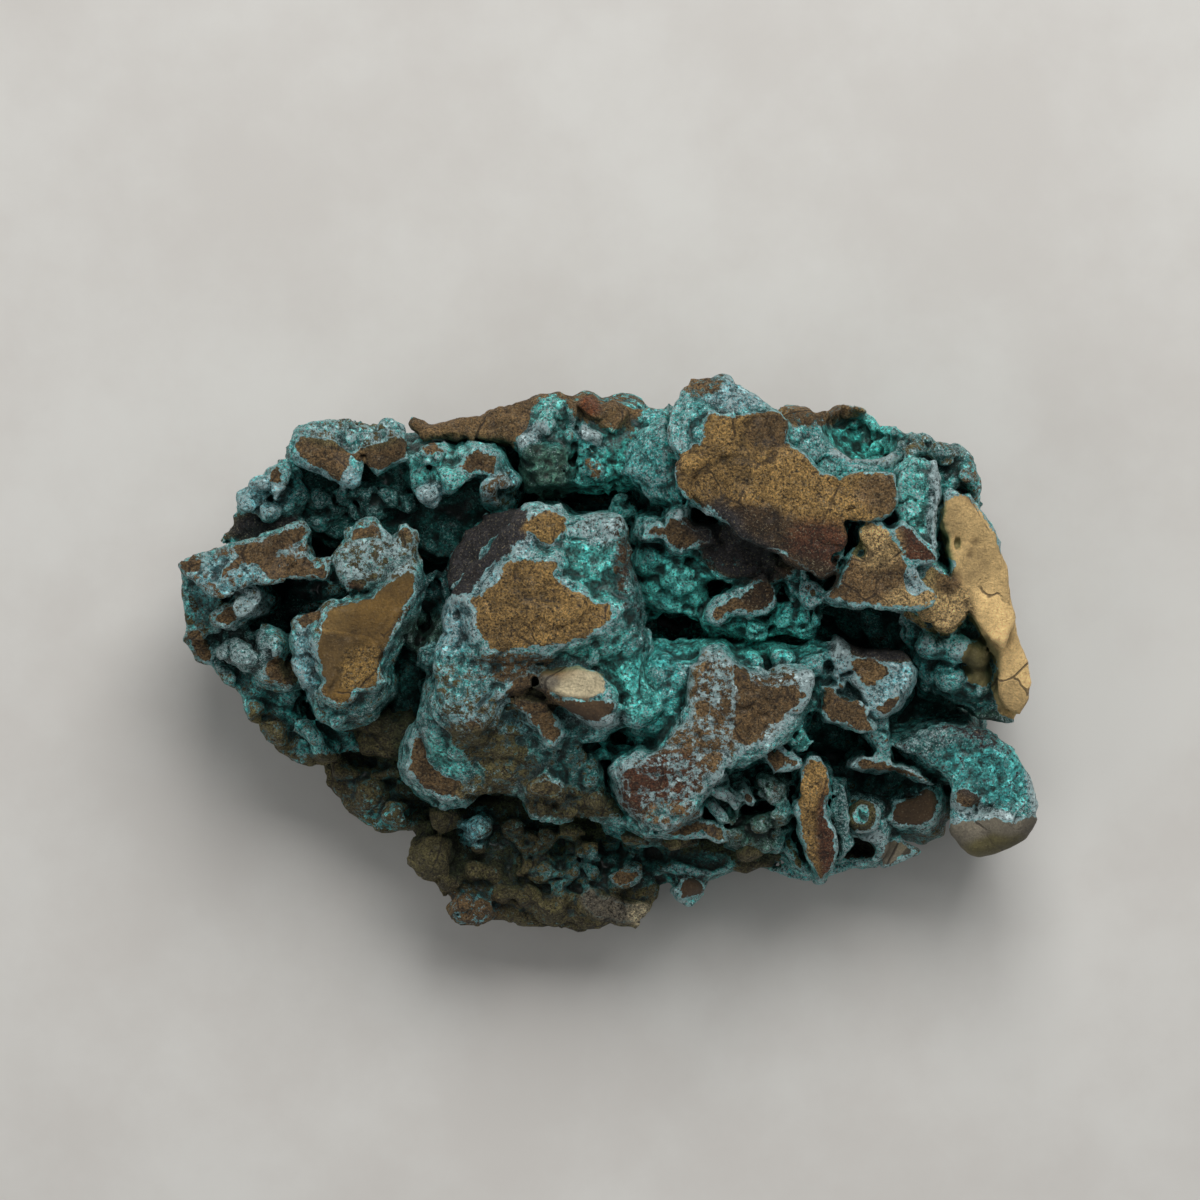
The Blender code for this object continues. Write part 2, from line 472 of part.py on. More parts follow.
def as_helper(obj):
    """Marks an object as a cutter."""
    obj.hide_render = True
    obj.display_type = "WIRE"
    return obj


def fuse(obj, voxel):
    """Makes the overlapping shapes one closed skin."""
    remesh = obj.modifiers.new("fuse", "REMESH")
    remesh.mode = "VOXEL"
    remesh.voxel_size = voxel * MM


def roughen(obj, name, size, height):
    """Raises and sinks the skin by a cloud pattern of that size and height."""
    clouds = bpy.data.textures.new(name, "CLOUDS")
    clouds.noise_scale = size * MM
    clouds.noise_depth = 1
    displace = obj.modifiers.new(name, "DISPLACE")
    displace.texture = clouds
    displace.texture_coords = "LOCAL"
    displace.strength = height * MM
    displace.mid_level = 0.5


def cut_with(obj, cutter, name):
    """Takes the cutter away from obj."""
    cut = obj.modifiers.new(name, "BOOLEAN")
    cut.operation = "DIFFERENCE"
    cut.solver = "EXACT"
    cut.object = cutter


def core_blocks():
    """The core: widest at its belt, sloping in below it, and level at the cavity floors."""
    middle = middle_of(CORE_OUTLINE)
    reach = sum((Vector(corner) - middle).length for corner in CORE_OUTLINE) / len(CORE_OUTLINE)
    shrink = 1.0 - CORE_UNDERCUT / reach
    inner = tuple(tuple(middle + (Vector(corner) - middle) * shrink) for corner in CORE_OUTLINE)
    return (
        Block(CORE_OUTLINE, top=CORE_TOP, taper=1.5, foot=CORE_BELT - 2.0),
        Block(inner, top=CORE_BELT, taper=-CORE_UNDERCUT, foot=CORE_FOOT),
    )


def around_core(share, inset):
    """The point on the core's outline a share of the way round, drawn in by inset."""
    place = (share % 1.0) * len(CORE_OUTLINE)
    first = int(place)
    here = Vector(CORE_OUTLINE[first])
    there = Vector(CORE_OUTLINE[(first + 1) % len(CORE_OUTLINE)])
    point = here.lerp(there, place - first)
    return point - point.normalized() * inset


def flank_knobs(count, levels, radius, inset, phase=0.0):
    """Knobs round the flanks, spread in height and size by the golden ratio."""
    low, high = levels
    golden = (math.sqrt(5.0) - 1.0) / 2.0
    found = []
    for index in range(count):
        spread = (index * golden + phase) % 1.0
        size = radius * (0.7 + 0.6 * ((spread * 7.0) % 1.0))
        point = around_core((index + 0.5 * spread) / count, inset)
        centre = (point.x, point.y, low + (high - low) * spread)
        found.append(Knob(centre, (size, size * 0.85, size * 1.15), 360.0 * spread))
    return found


def hollows_cutter(collection):
    """All clefts and pits as one fused cutter."""
    body = bmesh.new()
    for hollow in (*HOLLOWS, *flank_knobs(FLANK_PITS, PIT_LEVELS, PIT_RADIUS, PIT_INSET, PIT_PHASE)):
        add_knob(body, hollow)
    cutter = as_helper(object_from(body, "hollows", collection))
    fuse(cutter, FUSE_VOXEL)
    return cutter


def ground_cutter(collection):
    """A slab under the resting plane."""
    body = bmesh.new()
    size = Matrix.Diagonal((GROUND_SIDE, GROUND_SIDE, GROUND_DEPTH, 1.0))
    place = Matrix.Translation((0.0, 0.0, REST_CUT - GROUND_DEPTH / 2)) @ size
    bmesh.ops.create_cube(body, size=1.0, matrix=place)
    return as_helper(object_from(body, "ground", collection))


def rock(collection, cutters):
    """The whole specimen as one solid."""
    body = bmesh.new()
    for block in core_blocks():
        add_block(body, block)
    for group in (CENTRE, SOUTH, NORTH_EAST, NORTH_WEST, WEST, BASE, SOUTH_EAST, EAST):
        for block in group.values():
            add_block(body, block)
    for knob in (*KNOBS, *flank_knobs(FLANK_LUMPS, LUMP_LEVELS, LUMP_RADIUS, LUMP_INSET)):
        add_knob(body, knob)
    stone = object_from(body, ROCK_NAME, collection)
    stone.data.materials.append(stone_material())
    fuse(stone, FUSE_VOXEL)
    cut_with(stone, hollows_cutter(cutters), "hollows")
    roughen(stone, "broad roughness", *ROUGH_COARSE)
    roughen(stone, "fine roughness", *ROUGH_FINE)
    fuse(stone, FUSE_VOXEL)
    thin = stone.modifiers.new("facets", "DECIMATE")
    thin.ratio = FACET_SHARE
    cut_with(stone, ground_cutter(cutters), "resting flat")
    return stone


def main():
    """Builds the specimen."""
    clear_scene()
    parts = new_collection("Chrysocolla specimen")
    cutters = new_collection("Cutters")
    rock(parts, cutters)


main()
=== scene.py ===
"""Chrysocolla specimen: the looks of one lump of boxwork rock.

The rock's skin is the zero level of a distance field. Each block is an outline with a tilted top and a
rounded edge, each swelling is an ellipsoid, and they are blended, hollowed and roughened on a grid as
whole arrays. A sheet over two parameters can't hold overhangs and clefts, so the skin is drawn from the
grid instead. Lengths in the tables are millimetres, in the frame's axes.
"""

import functools
import itertools
import logging
import math
from collections.abc import Sequence
from dataclasses import dataclass, field
from enum import Enum

import bpy
import numpy as np
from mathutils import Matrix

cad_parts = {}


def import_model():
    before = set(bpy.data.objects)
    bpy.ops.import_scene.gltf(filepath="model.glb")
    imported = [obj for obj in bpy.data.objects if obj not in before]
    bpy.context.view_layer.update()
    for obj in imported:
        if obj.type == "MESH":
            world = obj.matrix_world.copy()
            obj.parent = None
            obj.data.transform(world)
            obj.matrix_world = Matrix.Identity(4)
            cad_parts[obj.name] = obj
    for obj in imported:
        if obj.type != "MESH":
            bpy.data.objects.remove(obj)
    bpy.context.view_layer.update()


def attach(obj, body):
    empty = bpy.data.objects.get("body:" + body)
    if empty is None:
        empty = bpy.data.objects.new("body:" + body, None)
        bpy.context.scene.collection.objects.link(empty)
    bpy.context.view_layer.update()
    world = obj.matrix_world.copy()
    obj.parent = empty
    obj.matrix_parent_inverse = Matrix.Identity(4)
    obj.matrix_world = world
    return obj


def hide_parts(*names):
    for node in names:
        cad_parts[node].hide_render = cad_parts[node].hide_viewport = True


log = logging.getLogger("chrysocolla")

Point = tuple[float, float]
Outline = tuple[float, ...]  # X and Y of each corner in turn
Place = tuple[float, float, float]
Shade = tuple[float, float, float]
Array = np.ndarray
Window = tuple[slice, ...]
Socket = bpy.types.NodeSocket
Value = float | tuple[float, ...] | Socket

MM = 0.001
COARSE = 0.9  # spacing of the grid that all fields share
FAR = 9.0  # a distance that counts as outside
BLEND = 0.5  # how softly neighbouring shapes run together
WANDER = (3.2, 0.45)  # size and reach of the wander of every outline
SKIN = 1.5  # the roughness reaches this far from the smooth skin
CREST_ROUNDS = 7  # rounds of smoothing behind the height of a crest
CREST = 0.13  # height of a full crest
HEAVE_SIZE, GRIT_SIZE, CREASE_SIZE = 5.5, 0.9, 4.2  # widths of the roughness's noises
GRIT = 0.14  # reach of the finest roughness
CREASE_WIDTH = 0.16  # share of the noise's range that is a crack
ROCK = "chrysocolla_specimen"


def linear(shade: Shade) -> Array:
    """Turns a screen colour into a linear one."""
    value = np.asarray(shade, np.float64)
    return np.where(value <= 0.04045, value / 12.92, ((value + 0.055) / 1.055) ** 2.4)


def smoothstep(low: float, high: float, value: Array) -> Array:
    """Rises from 0 at low to 1 at high, with level ends."""
    share = np.clip((value - low) / (high - low), 0.0, 1.0)
    return share * share * (3.0 - 2.0 * share)


class Stone(Enum):
    """The minerals that show where the crust is broken through, as screen colours. Two of them are amber
    painted darker and lighter, as painted shade and painted light on the amber plate's facets.
    """

    BROWN = (0.46, 0.36, 0.225)
    GOLDEN = (0.62, 0.49, 0.28)
    AMBER = (0.43, 0.325, 0.145)
    # amber in painted shade, for the plate's darker facets
    SHADED_AMBER = (0.32, 0.245, 0.12)
    # amber in painted light, for the plate's lighter facets
    LIT_AMBER = (0.51, 0.40, 0.21)
    RED = (0.36, 0.215, 0.13)
    DARK = (0.27, 0.20, 0.12)
    TAN = (0.81, 0.68, 0.46)
    CREAM = (0.80, 0.74, 0.60)
    OLIVE = (0.38, 0.35, 0.21)
    RUST = (0.50, 0.29, 0.16)
    CHARCOAL = (0.21, 0.20, 0.205)
    GREY = (0.44, 0.41, 0.35)


class Crust(Enum):
    """The colours of the copper crust, as screen colours."""

    TURQUOISE = (0.27, 0.62, 0.60)
    BRIGHT = (0.33, 0.72, 0.68)
    SKY = (0.41, 0.66, 0.68)
    TEAL = (0.16, 0.40, 0.38)
    DEEP = (0.09, 0.30, 0.29)
    MOSS = (0.24, 0.37, 0.31)
    FROST = (0.45, 0.64, 0.64)


BROWN, GOLDEN, AMBER, SHADED_AMBER, LIT_AMBER, RED, DARK, TAN, CREAM, OLIVE, RUST, CHARCOAL, GREY = Stone
TURQUOISE, BRIGHT, SKY, TEAL, DEEP, MOSS, FROST = Crust


class Noise:
    """Smooth random values that repeat far outside the rock."""

    CELLS = 32

    def __init__(self, seed: int) -> None:
        """Draws the lattice.

        Args:
            seed: The seed of its random numbers.
        """
        random = np.random.default_rng(seed)
        self.levels = random.random((self.CELLS,) * 3, dtype=np.float32)
        self.seeds = random.random((self.CELLS,) * 3 + (3,), dtype=np.float32)

    def value(self, points: Array, size: float) -> Array:
        """Reads smooth noise: the lattice levels, blended by a smoothed share of the way between them.

        Args:
            points: Places in millimetres, one a row.
            size: Width of a lattice cell in millimetres.

        Returns:
            Values from -1 to 1.
        """
        scaled = points.astype(np.float32) / np.float32(size)
        base = np.floor(scaled).astype(np.int32)
        share = scaled - base
        share = share * share * (3.0 - 2.0 * share)
        total = np.zeros(len(points), np.float32)
        for corner in itertools.product((0, 1), repeat=3):
            index = (base + np.array(corner, np.int32)) % self.CELLS
            weight = np.prod(np.where(corner, share, 1.0 - share), axis=1)
            total += weight * self.levels[index[:, 0], index[:, 1], index[:, 2]]
        return total * 2.0 - 1.0

    def layered(self, points: Array, size: float, layers: int = 3) -> Array:
        """Adds layers of noise, each half as wide and a little over half as strong as the last.

        Args:
            points: Places in millimetres, one a row.
            size: Cell width of the first layer.
            layers: How many layers.

        Returns:
            Values from about -1 to 1.
        """
        total, strength, reach = np.zeros(len(points), np.float32), 1.0, 0.0
        for layer in range(layers):
            total += strength * self.value(points + 7.3 * layer, size / 2**layer)
            reach += strength
            strength *= 0.55
        return total / reach * 1.5

    def domes(self, points: Array, size: float) -> Array:
        """Reads a field of domes: one less the squared distance to the nearest scattered point.

        Args:
            points: Places in millimetres, one a row.
            size: Mean distance between domes.

        Returns:
            1 at the crown of a dome, near 0 in the creases between domes.
        """
        scaled = points.astype(np.float32) / np.float32(size)
        base = np.floor(scaled).astype(np.int32)
        inside = scaled - base
        nearest = np.full(len(points), 4.0, np.float32)
        for step in itertools.product((-1, 0, 1), repeat=3):
            index = (base + np.array(step, np.int32)) % self.CELLS
            gap = self.seeds[index[:, 0], index[:, 1], index[:, 2]] * 0.8 + 0.1 + np.array(step, np.float32)
            gap -= inside
            np.minimum(nearest, np.einsum("ij,ij->i", gap, gap), out=nearest)
        return 1.0 - np.minimum(nearest, 1.0)


NOISE = Noise(11)


def wandered(x: Array, y: Array) -> tuple[Array, Array]:
    """Shifts places by smooth noise, so that straight outlines come out ragged.

    Args:
        x: Places along X.
        y: Places along Y, in the same shape.

    Returns:
        The shifted X and Y.
    """
    size, reach = WANDER
    flat = np.stack([x.ravel(), y.ravel(), np.zeros(x.size)], axis=1)
    shift_x = NOISE.layered(flat + 3.1, size, 4).reshape(x.shape)
    shift_y = NOISE.layered(flat + 61.7, size, 4).reshape(x.shape)
    return x + reach * shift_x, y + reach * shift_y


def paired(outline: Outline) -> tuple[Point, ...]:
    """The corners of an outline."""
    return tuple(zip(outline[::2], outline[1::2]))


def outline_distance(x: Array, y: Array, outline: Outline) -> Array:
    """Distance to a closed outline: the least distance to any side, negative inside.

    Args:
        x: Places along X.
        y: Places along Y.
        outline: The outline.

    Returns:
        The signed distance in millimetres.
    """
    corners = paired(outline)
    nearest = np.full(x.shape, 1e9, np.float32)
    inside = np.zeros(x.shape, bool)
    for (ax, ay), (bx, by) in zip(corners, corners[1:] + corners[:1]):
        side_x, side_y = bx - ax, by - ay
        off_x, off_y = x - ax, y - ay
        share = np.clip((off_x * side_x + off_y * side_y) / (side_x**2 + side_y**2), 0.0, 1.0)
        near = (off_x - share * side_x) ** 2 + (off_y - share * side_y) ** 2
        nearest = np.minimum(nearest, near)
        if ay != by:
            inside ^= ((ay <= y) != (by <= y)) & (off_x < off_y * side_x / side_y)
    return np.where(inside, -1.0, 1.0) * np.sqrt(nearest)


@dataclass(frozen=True)
class Slab:
    """A block: its outline, the height of its top, the top's rise along X and Y, and its wall."""

    outline: Outline
    top: float
    rise: Point = (0.0, 0.0)
    edge: float = 0.7  # radius of the rounding between top and wall
    flare: float = 0.06  # how far the wall spreads per millimetre down; negative draws it in
    foot: float = 9.0
    face: Stone | None = None  # what shows on the broken top, if anything does
    inset: float = 0.6  # width of the crust round the broken top
    blend: float = BLEND


@dataclass(frozen=True)
class Face:
    """A broken place where stone shows: its outline, the stone, and how far down the wall it reaches."""

    outline: Outline
    stone: Stone
    reach: float = 1.6
    calm: bool = False  # a smooth, glassy break


@dataclass(frozen=True)
class Dome:
    """A swelling, or a hollow where it is cut away: its middle, half lengths and turn about Z."""

    middle: Place
    radii: Place
    turn: float = 0.0
    blend: float = BLEND


def lumps(*rows: tuple[float, ...]) -> tuple[Dome, ...]:
    """Swellings or hollows from rows: the middle, the half lengths, then any turn and blend."""
    return tuple(Dome(row[:3], row[3:6], *row[6:]) for row in rows)


@dataclass(frozen=True)
class Patch:
    """A soft-edged stretch of skin: its middle and half lengths in plan, and what changes there."""

    middle: Point
    radii: Point
    crust: Crust | None = None
    stone: Stone | None = None
    turn: float = 0.0
    bare: float | None = None  # share of the skin where stone shows through
    dust: float | None = None  # share of the skin that is frosted white
    cover: float = 0.0  # how far the crust creeps over a broken face
    below: float = 99.0  # only skin lower than this is changed
    above: float = -99.0  # only skin higher than this is changed

    def weight(self, x: Array, y: Array, z: Array) -> Array:
        """How strongly the patch acts: full inside the ellipse, gone at 1.4 times its size.

        Args:
            x: Places along X.
            y: Places along Y.
            z: Places along Z.

        Returns:
            Weights from 0 to 1.
        """
        turn = math.radians(self.turn)
        off_x, off_y = x - self.middle[0], y - self.middle[1]
        along = (off_x * math.cos(turn) + off_y * math.sin(turn)) / self.radii[0]
        across = (off_y * math.cos(turn) - off_x * math.sin(turn)) / self.radii[1]
        weight = 1.0 - smoothstep(0.7, 1.4, np.sqrt(along**2 + across**2))
        return weight * smoothstep(-1.0, 1.0, self.below - z) * smoothstep(-1.0, 1.0, z - self.above)


@dataclass(frozen=True)
class Skin:
    """How a sub-assembly's skin is roughened: grain on its tops, beads in its hollows and on its walls."""

    heave: float = 0.42  # broad unevenness
    grain: float = 0.38
    grain_size: float = 2.2
    crease: float = 0.55  # depth of the cracks between lumps
    bead: float = 0.5
    bead_size: float = 1.5
    crust: Crust = Crust.TURQUOISE
    stone: Stone = Stone.OLIVE
    bare: float = 0.35
    dust: float = 0.25


class Field:
    """Distances to a shape on a box of grid points that all fields share."""

    def __init__(self, low: Place, high: Place, fine: int) -> None:
        """Lays out an empty field.

        Args:
            low: Lowest corner of the box.
            high: Highest corner of the box.
            fine: How many of its steps make one step of the shared coarse grid.
        """
        self.fine, self.step = fine, COARSE / fine
        self.first = np.array([math.floor(value / COARSE) for value in low])
        last = np.array([math.ceil(value / COARSE) for value in high])
        self.axes = [
            np.arange(a * fine, b * fine + 1, dtype=np.float32) * self.step for a, b in zip(self.first, last)
        ]
        self.value = np.full([len(axis) for axis in self.axes], FAR, np.float32)
        self.x, self.y = (np.float32(grid) for grid in np.meshgrid(*self.axes[:2], indexing="ij"))
        self.wander_x, self.wander_y = wandered(self.x, self.y)

    def window(self, low: Sequence[float], high: Sequence[float]) -> Window:
        """The part of the grid between two corners, as one slice for each axis."""
        return tuple(
            slice(int(np.searchsorted(axis, a)), int(np.searchsorted(axis, b)))
            for axis, a, b in zip(self.axes, low, high)
        )

    def join(self, part: Window, distance: Array, blend: float) -> None:
        """Adds a shape: the lesser of the two distances, rounded where they are alike.

        Args:
            part: The window that the distances cover.
            distance: The shape's distances.
            blend: Width of the rounding.
        """
        old = self.value[part]
        share = np.clip(0.5 + 0.5 * (old - distance) / blend, 0.0, 1.0)
        self.value[part] = old + (distance - old) * share - blend * share * (1.0 - share)

    def carve(self, part: Window, distance: Array, blend: float) -> None:
        """Takes a shape away: the greater of the distance and the shape's negative, rounded.

        Args:
            part: The window that the distances cover.
            distance: The shape's distances.
            blend: Width of the rounding.
        """
        self.value[part] *= -1.0
        self.join(part, distance, blend)
        self.value[part] *= -1.0

    def slab(self, slab: Slab) -> None:
        """Adds a block: where plan and height distances meet, their corner is rounded by its edge.

        Args:
            slab: The block.
        """
        corners = np.array(paired(slab.outline))
        middle = corners.mean(axis=0)
        spread = 2.0 + max(slab.flare, 0.0) * (slab.top - slab.foot)
        low, high = corners.min(axis=0) - spread, corners.max(axis=0) + spread
        lift = abs(slab.rise[0]) * (high[0] - low[0]) / 2 + abs(slab.rise[1]) * (high[1] - low[1]) / 2
        part = self.window((*low, slab.foot - 1.5), (*high, slab.top + lift + 2.5))
        x, y = self.wander_x[part[:2]], self.wander_y[part[:2]]
        plan = outline_distance(x, y, slab.outline)
        top = slab.top + (x - middle[0]) * slab.rise[0] + (y - middle[1]) * slab.rise[1]
        depth = self.axes[2][part[2]][None, None, :] - top[:, :, None]
        side = plan[:, :, None] + slab.flare * np.minimum(depth, 0.0) + slab.edge
        depth = depth + slab.edge
        distance = np.minimum(np.maximum(side, depth), 0.0) - slab.edge
        distance += np.hypot(np.maximum(side, 0.0), np.maximum(depth, 0.0))
        distance = np.maximum(distance, slab.foot - self.axes[2][part[2]][None, None, :])
        self.join(part, distance.astype(np.float32), slab.blend)

    def ellipsoid(self, dome: Dome) -> tuple[Window, Array]:
        """Distance to an ellipsoid: how far its scaled radius is from one, times its least half length.

        Args:
            dome: The swelling.

        Returns:
            The window round it, and the distances there.
        """
        middle, radii = np.array(dome.middle), np.array(dome.radii)
        reach = np.array([radii[:2].max(), radii[:2].max(), radii[2]]) + 1.5
        part = self.window(middle - reach, middle + reach)
        axes = [axis[side] for axis, side in zip(self.axes, part)]
        x, y, z = np.meshgrid(*axes, indexing="ij", sparse=True)
        turn = math.radians(dome.turn)
        along = ((x - middle[0]) * math.cos(turn) + (y - middle[1]) * math.sin(turn)) / radii[0]
        across = ((y - middle[1]) * math.cos(turn) - (x - middle[0]) * math.sin(turn)) / radii[1]
        scaled = np.sqrt(along**2 + across**2 + ((z - middle[2]) / radii[2]) ** 2)
        return part, ((scaled - 1.0) * radii.min()).astype(np.float32)

    def close(self) -> None:
        """Cuts the shape flat at the resting plane and keeps it off the box's walls."""
        np.maximum(self.value, -self.axes[2][None, None, :], out=self.value)
        for axis in range(3):
            edge = [slice(None)] * 3
            for end in (0, -1):
                edge[axis] = end
                self.value[tuple(edge)] = FAR

    def coarse(self) -> Array:
        """The distances at the points of the coarse grid."""
        return self.value[:: self.fine, :: self.fine, :: self.fine]

    def tops(self) -> Array:
        """Height of the highest skin over each coarse point in plan, or a low number where there is none."""
        inside = self.value[:: self.fine, :: self.fine] < 0.0
        top = len(self.axes[2]) - 1 - np.argmax(inside[:, :, ::-1], axis=2)
        return np.where(inside.any(axis=2), self.axes[2][top], -FAR)

    def skin_points(self) -> tuple[tuple[Array, ...], Array]:
        """The grid points near the skin: their grid indices, and their places one a row."""
        near = np.nonzero(np.abs(self.value) < SKIN)
        return near, np.stack([axis[index] for axis, index in zip(self.axes, near)], axis=1)

    def surface(self) -> tuple[Array, Array]:
        """Draws the skin: one point in each cell that it crosses, at the mean of its edge crossings, and a
        four-sided face round each grid edge that it crosses.

        Returns:
            The points, and the faces as four point indices each.
        """
        value = self.value
        inside = value < 0.0
        count = np.zeros([n - 1 for n in value.shape], np.uint8)
        for a, b, c in itertools.product((0, 1), repeat=3):
            count += inside[a : a + count.shape[0], b : b + count.shape[1], c : c + count.shape[2]]
        cells = np.nonzero((count > 0) & (count < 8))
        total, crossings = np.zeros((len(cells[0]), 3), np.float32), np.zeros(len(cells[0]), np.float32)
        for axis in range(3):
            for near in itertools.product((0, 1), repeat=2):
                start = np.insert(np.array(near), axis, 0)
                step = np.eye(3, dtype=int)[axis]
                a = value[tuple(cell + shift for cell, shift in zip(cells, start))]
                b = value[tuple(cell + shift for cell, shift in zip(cells, start + step))]
                crosses = (a < 0.0) != (b < 0.0)
                share = np.where(crosses, a / np.where(crosses, a - b, 1.0), 0.0)
                total += crosses[:, None] * (start + share[:, None] * step)
                crossings += crosses
        places = total / crossings[:, None] + np.stack(cells, axis=1) + self.first * self.fine
        index = np.full(count.shape, -1, np.int32)
        index[cells] = np.arange(len(cells[0]), dtype=np.int32)
        faces = [self.faces_across(inside, index, axis) for axis in range(3)]
        return places * self.step, np.concatenate(faces)

    @staticmethod
    def faces_across(inside: Array, index: Array, axis: int) -> Array:
        """Faces round the grid edges along one axis whose ends lie on different sides of the skin.

        Args:
            inside: Whether each grid point is inside.
            index: The point number of each cell.
            axis: The axis of the edges.

        Returns:
            Faces as four point indices each, wound to face outwards.
        """
        u, v = (axis + 1) % 3, (axis + 2) % 3
        near, far = ([slice(1, -1)] * 3 for _ in range(2))
        near[axis], far[axis] = slice(0, -1), slice(1, None)
        starts, ends = inside[tuple(near)], inside[tuple(far)]
        edges = np.nonzero(starts != ends)
        place = np.stack(edges, axis=1)
        place[:, [u, v]] += 1
        ring = []
        for back_u, back_v in ((0, 0), (1, 0), (1, 1), (0, 1)):
            cell = place.copy()
            cell[:, u] -= back_u
            cell[:, v] -= back_v
            ring.append(index[cell[:, 0], cell[:, 1], cell[:, 2]])
        faces = np.stack(ring, axis=1)
        outward = starts[edges]
        return np.where(outward[:, None], faces, faces[:, ::-1])


def keep_largest(points: Array, faces: Array) -> tuple[Array, Array]:
    """Drops loose crumbs: each point takes the lowest number that it can reach, and the commonest stays.

    Args:
        points: The mesh's points.
        faces: Its faces.

    Returns:
        The points and faces of its largest body.
    """
    label = np.arange(len(points))
    ends = np.concatenate([faces[:, [0, 1]], faces[:, [1, 2]], faces[:, [2, 3]]])
    while True:
        low = np.minimum(label[ends[:, 0]], label[ends[:, 1]])
        new = label.copy()
        np.minimum.at(new, ends[:, 0], low)
        np.minimum.at(new, ends[:, 1], low)
        new = new[new]
        if np.array_equal(new, label):
            break
        label = new
    kept = label == np.bincount(label).argmax()
    number = np.cumsum(kept) - 1
    return points[kept], number[faces[kept[faces[:, 0]]]]


def box_blur(values: Array, reach: int) -> Array:
    """Averages over a cube, one axis after another, by differences of running sums.

    Args:
        values: The values on a grid.
        reach: Half the cube's side in grid steps.

    Returns:
        The averages, in the same shape.
    """
    for axis in range(values.ndim):
        widths = [(reach + 1, reach) if a == axis else (0, 0) for a in range(values.ndim)]
        sums = np.cumsum(np.pad(values, widths, mode="edge"), axis=axis, dtype=np.float64)
        size = values.shape[axis]
        high = np.take(sums, np.arange(size) + 2 * reach + 1, axis=axis)
        values = (high - np.take(sums, np.arange(size), axis=axis)) / (2 * reach + 1)
    return values.astype(np.float32)


# deep clefts that part neighbouring sub-assemblies
RIFTS = lumps(
    (6.4, 3.2, 24, 2.9, 1.6, 10, -16), (-4.4, 16.3, 25, 5.8, 0.8, 7, -3), (-18.3, 5.2, 23, 1.1, 4.8, 9, -16)
)


@dataclass
class Cluster:
    """A sub-assembly of the rock: its blocks, swellings and hollows, and how its skin is coloured."""

    name: str = "cluster"
    slabs: tuple[Slab, ...] = ()
    domes: tuple[Dome, ...] = ()
    hollows: tuple[Dome, ...] = ()
    faces: tuple[Face, ...] = ()
    patches: tuple[Patch, ...] = ()
    skin: Skin = Skin()
    fine: int = 3
    grid: Field | None = field(default=None, repr=False)

    def reach(self) -> tuple[Place, Place]:
        """The box that holds every block and swelling, with room for the roughness."""
        low = [np.min(paired(slab.outline), axis=0) for slab in self.slabs]
        high = [np.max(paired(slab.outline), axis=0) for slab in self.slabs]
        spread = [max(slab.flare, 0.0) * (slab.top - slab.foot) for slab in self.slabs]
        room = 2.5 + max(spread, default=0.0)
        for dome in self.domes:
            radius = max(dome.radii[:2])
            low.append(np.array(dome.middle[:2]) - radius)
            high.append(np.array(dome.middle[:2]) + radius)
        bottom = min([slab.foot for slab in self.slabs] + [d.middle[2] - d.radii[2] for d in self.domes])
        top = max([slab.top + 4.0 for slab in self.slabs] + [d.middle[2] + d.radii[2] for d in self.domes])
        (west, south), (east, north) = np.min(low, axis=0) - room, np.max(high, axis=0) + room
        return (west, south, max(bottom - 2.0, -1.0)), (east, north, top + 2.0)

    def shape(self) -> None:
        """Fills the field: blocks first, then swellings, then the hollows cut from both."""
        self.grid = Field(*self.reach(), self.fine)
        for slab in self.slabs:
            self.grid.slab(slab)
        for dome in self.domes:
            part, distance = self.grid.ellipsoid(dome)
            self.grid.join(part, distance, dome.blend)
        for hollow in (*RIFTS, *self.hollows):
            part, distance = self.grid.ellipsoid(hollow)
            self.grid.carve(part, distance, hollow.blend)
        self.grid.close()

    def roughen(self, land: "Landscape") -> None:
        """Adds the roughness: grain everywhere but on calm breaks, and domes in hollows and on walls.

        Args:
            land: The whole rock's heights.
        """
        near, points = self.grid.skin_points()
        below, sunk = land.read(points)
        x, y = wandered(points[:, 0], points[:, 1])
        calm = np.zeros(len(points), np.float32)
        for face in self.faces:
            if face.calm:
                calm = np.maximum(calm, smoothstep(-0.2, 0.6, -outline_distance(x, y, face.outline)))
        beaded = np.maximum(smoothstep(1.0, 3.5, below), smoothstep(2.0, 6.0, sunk)) * (1.0 - calm)
        skin = self.skin
        grain = NOISE.layered(points + 43.0, HEAVE_SIZE, 2) * skin.heave
        grain += NOISE.layered(points, skin.grain_size, 3) * skin.grain
        grain += NOISE.layered(points + 17.0, GRIT_SIZE, 2) * GRIT
        crease = NOISE.layered(points + 87.0, CREASE_SIZE, 3)
        crease = np.maximum(0.0, 1.0 - np.abs(crease) / CREASE_WIDTH)
        grain -= crease * skin.crease * 0.7
        beads = (NOISE.domes(points, skin.bead_size) - 0.85) * skin.bead
        beads += (NOISE.domes(points + 31.0, skin.bead_size * 0.5) - 0.85) * skin.bead * 0.35
        self.grid.value[near] -= grain * (1.0 - 0.8 * calm) + beads * (0.2 + 0.8 * beaded)
        self.grid.close()


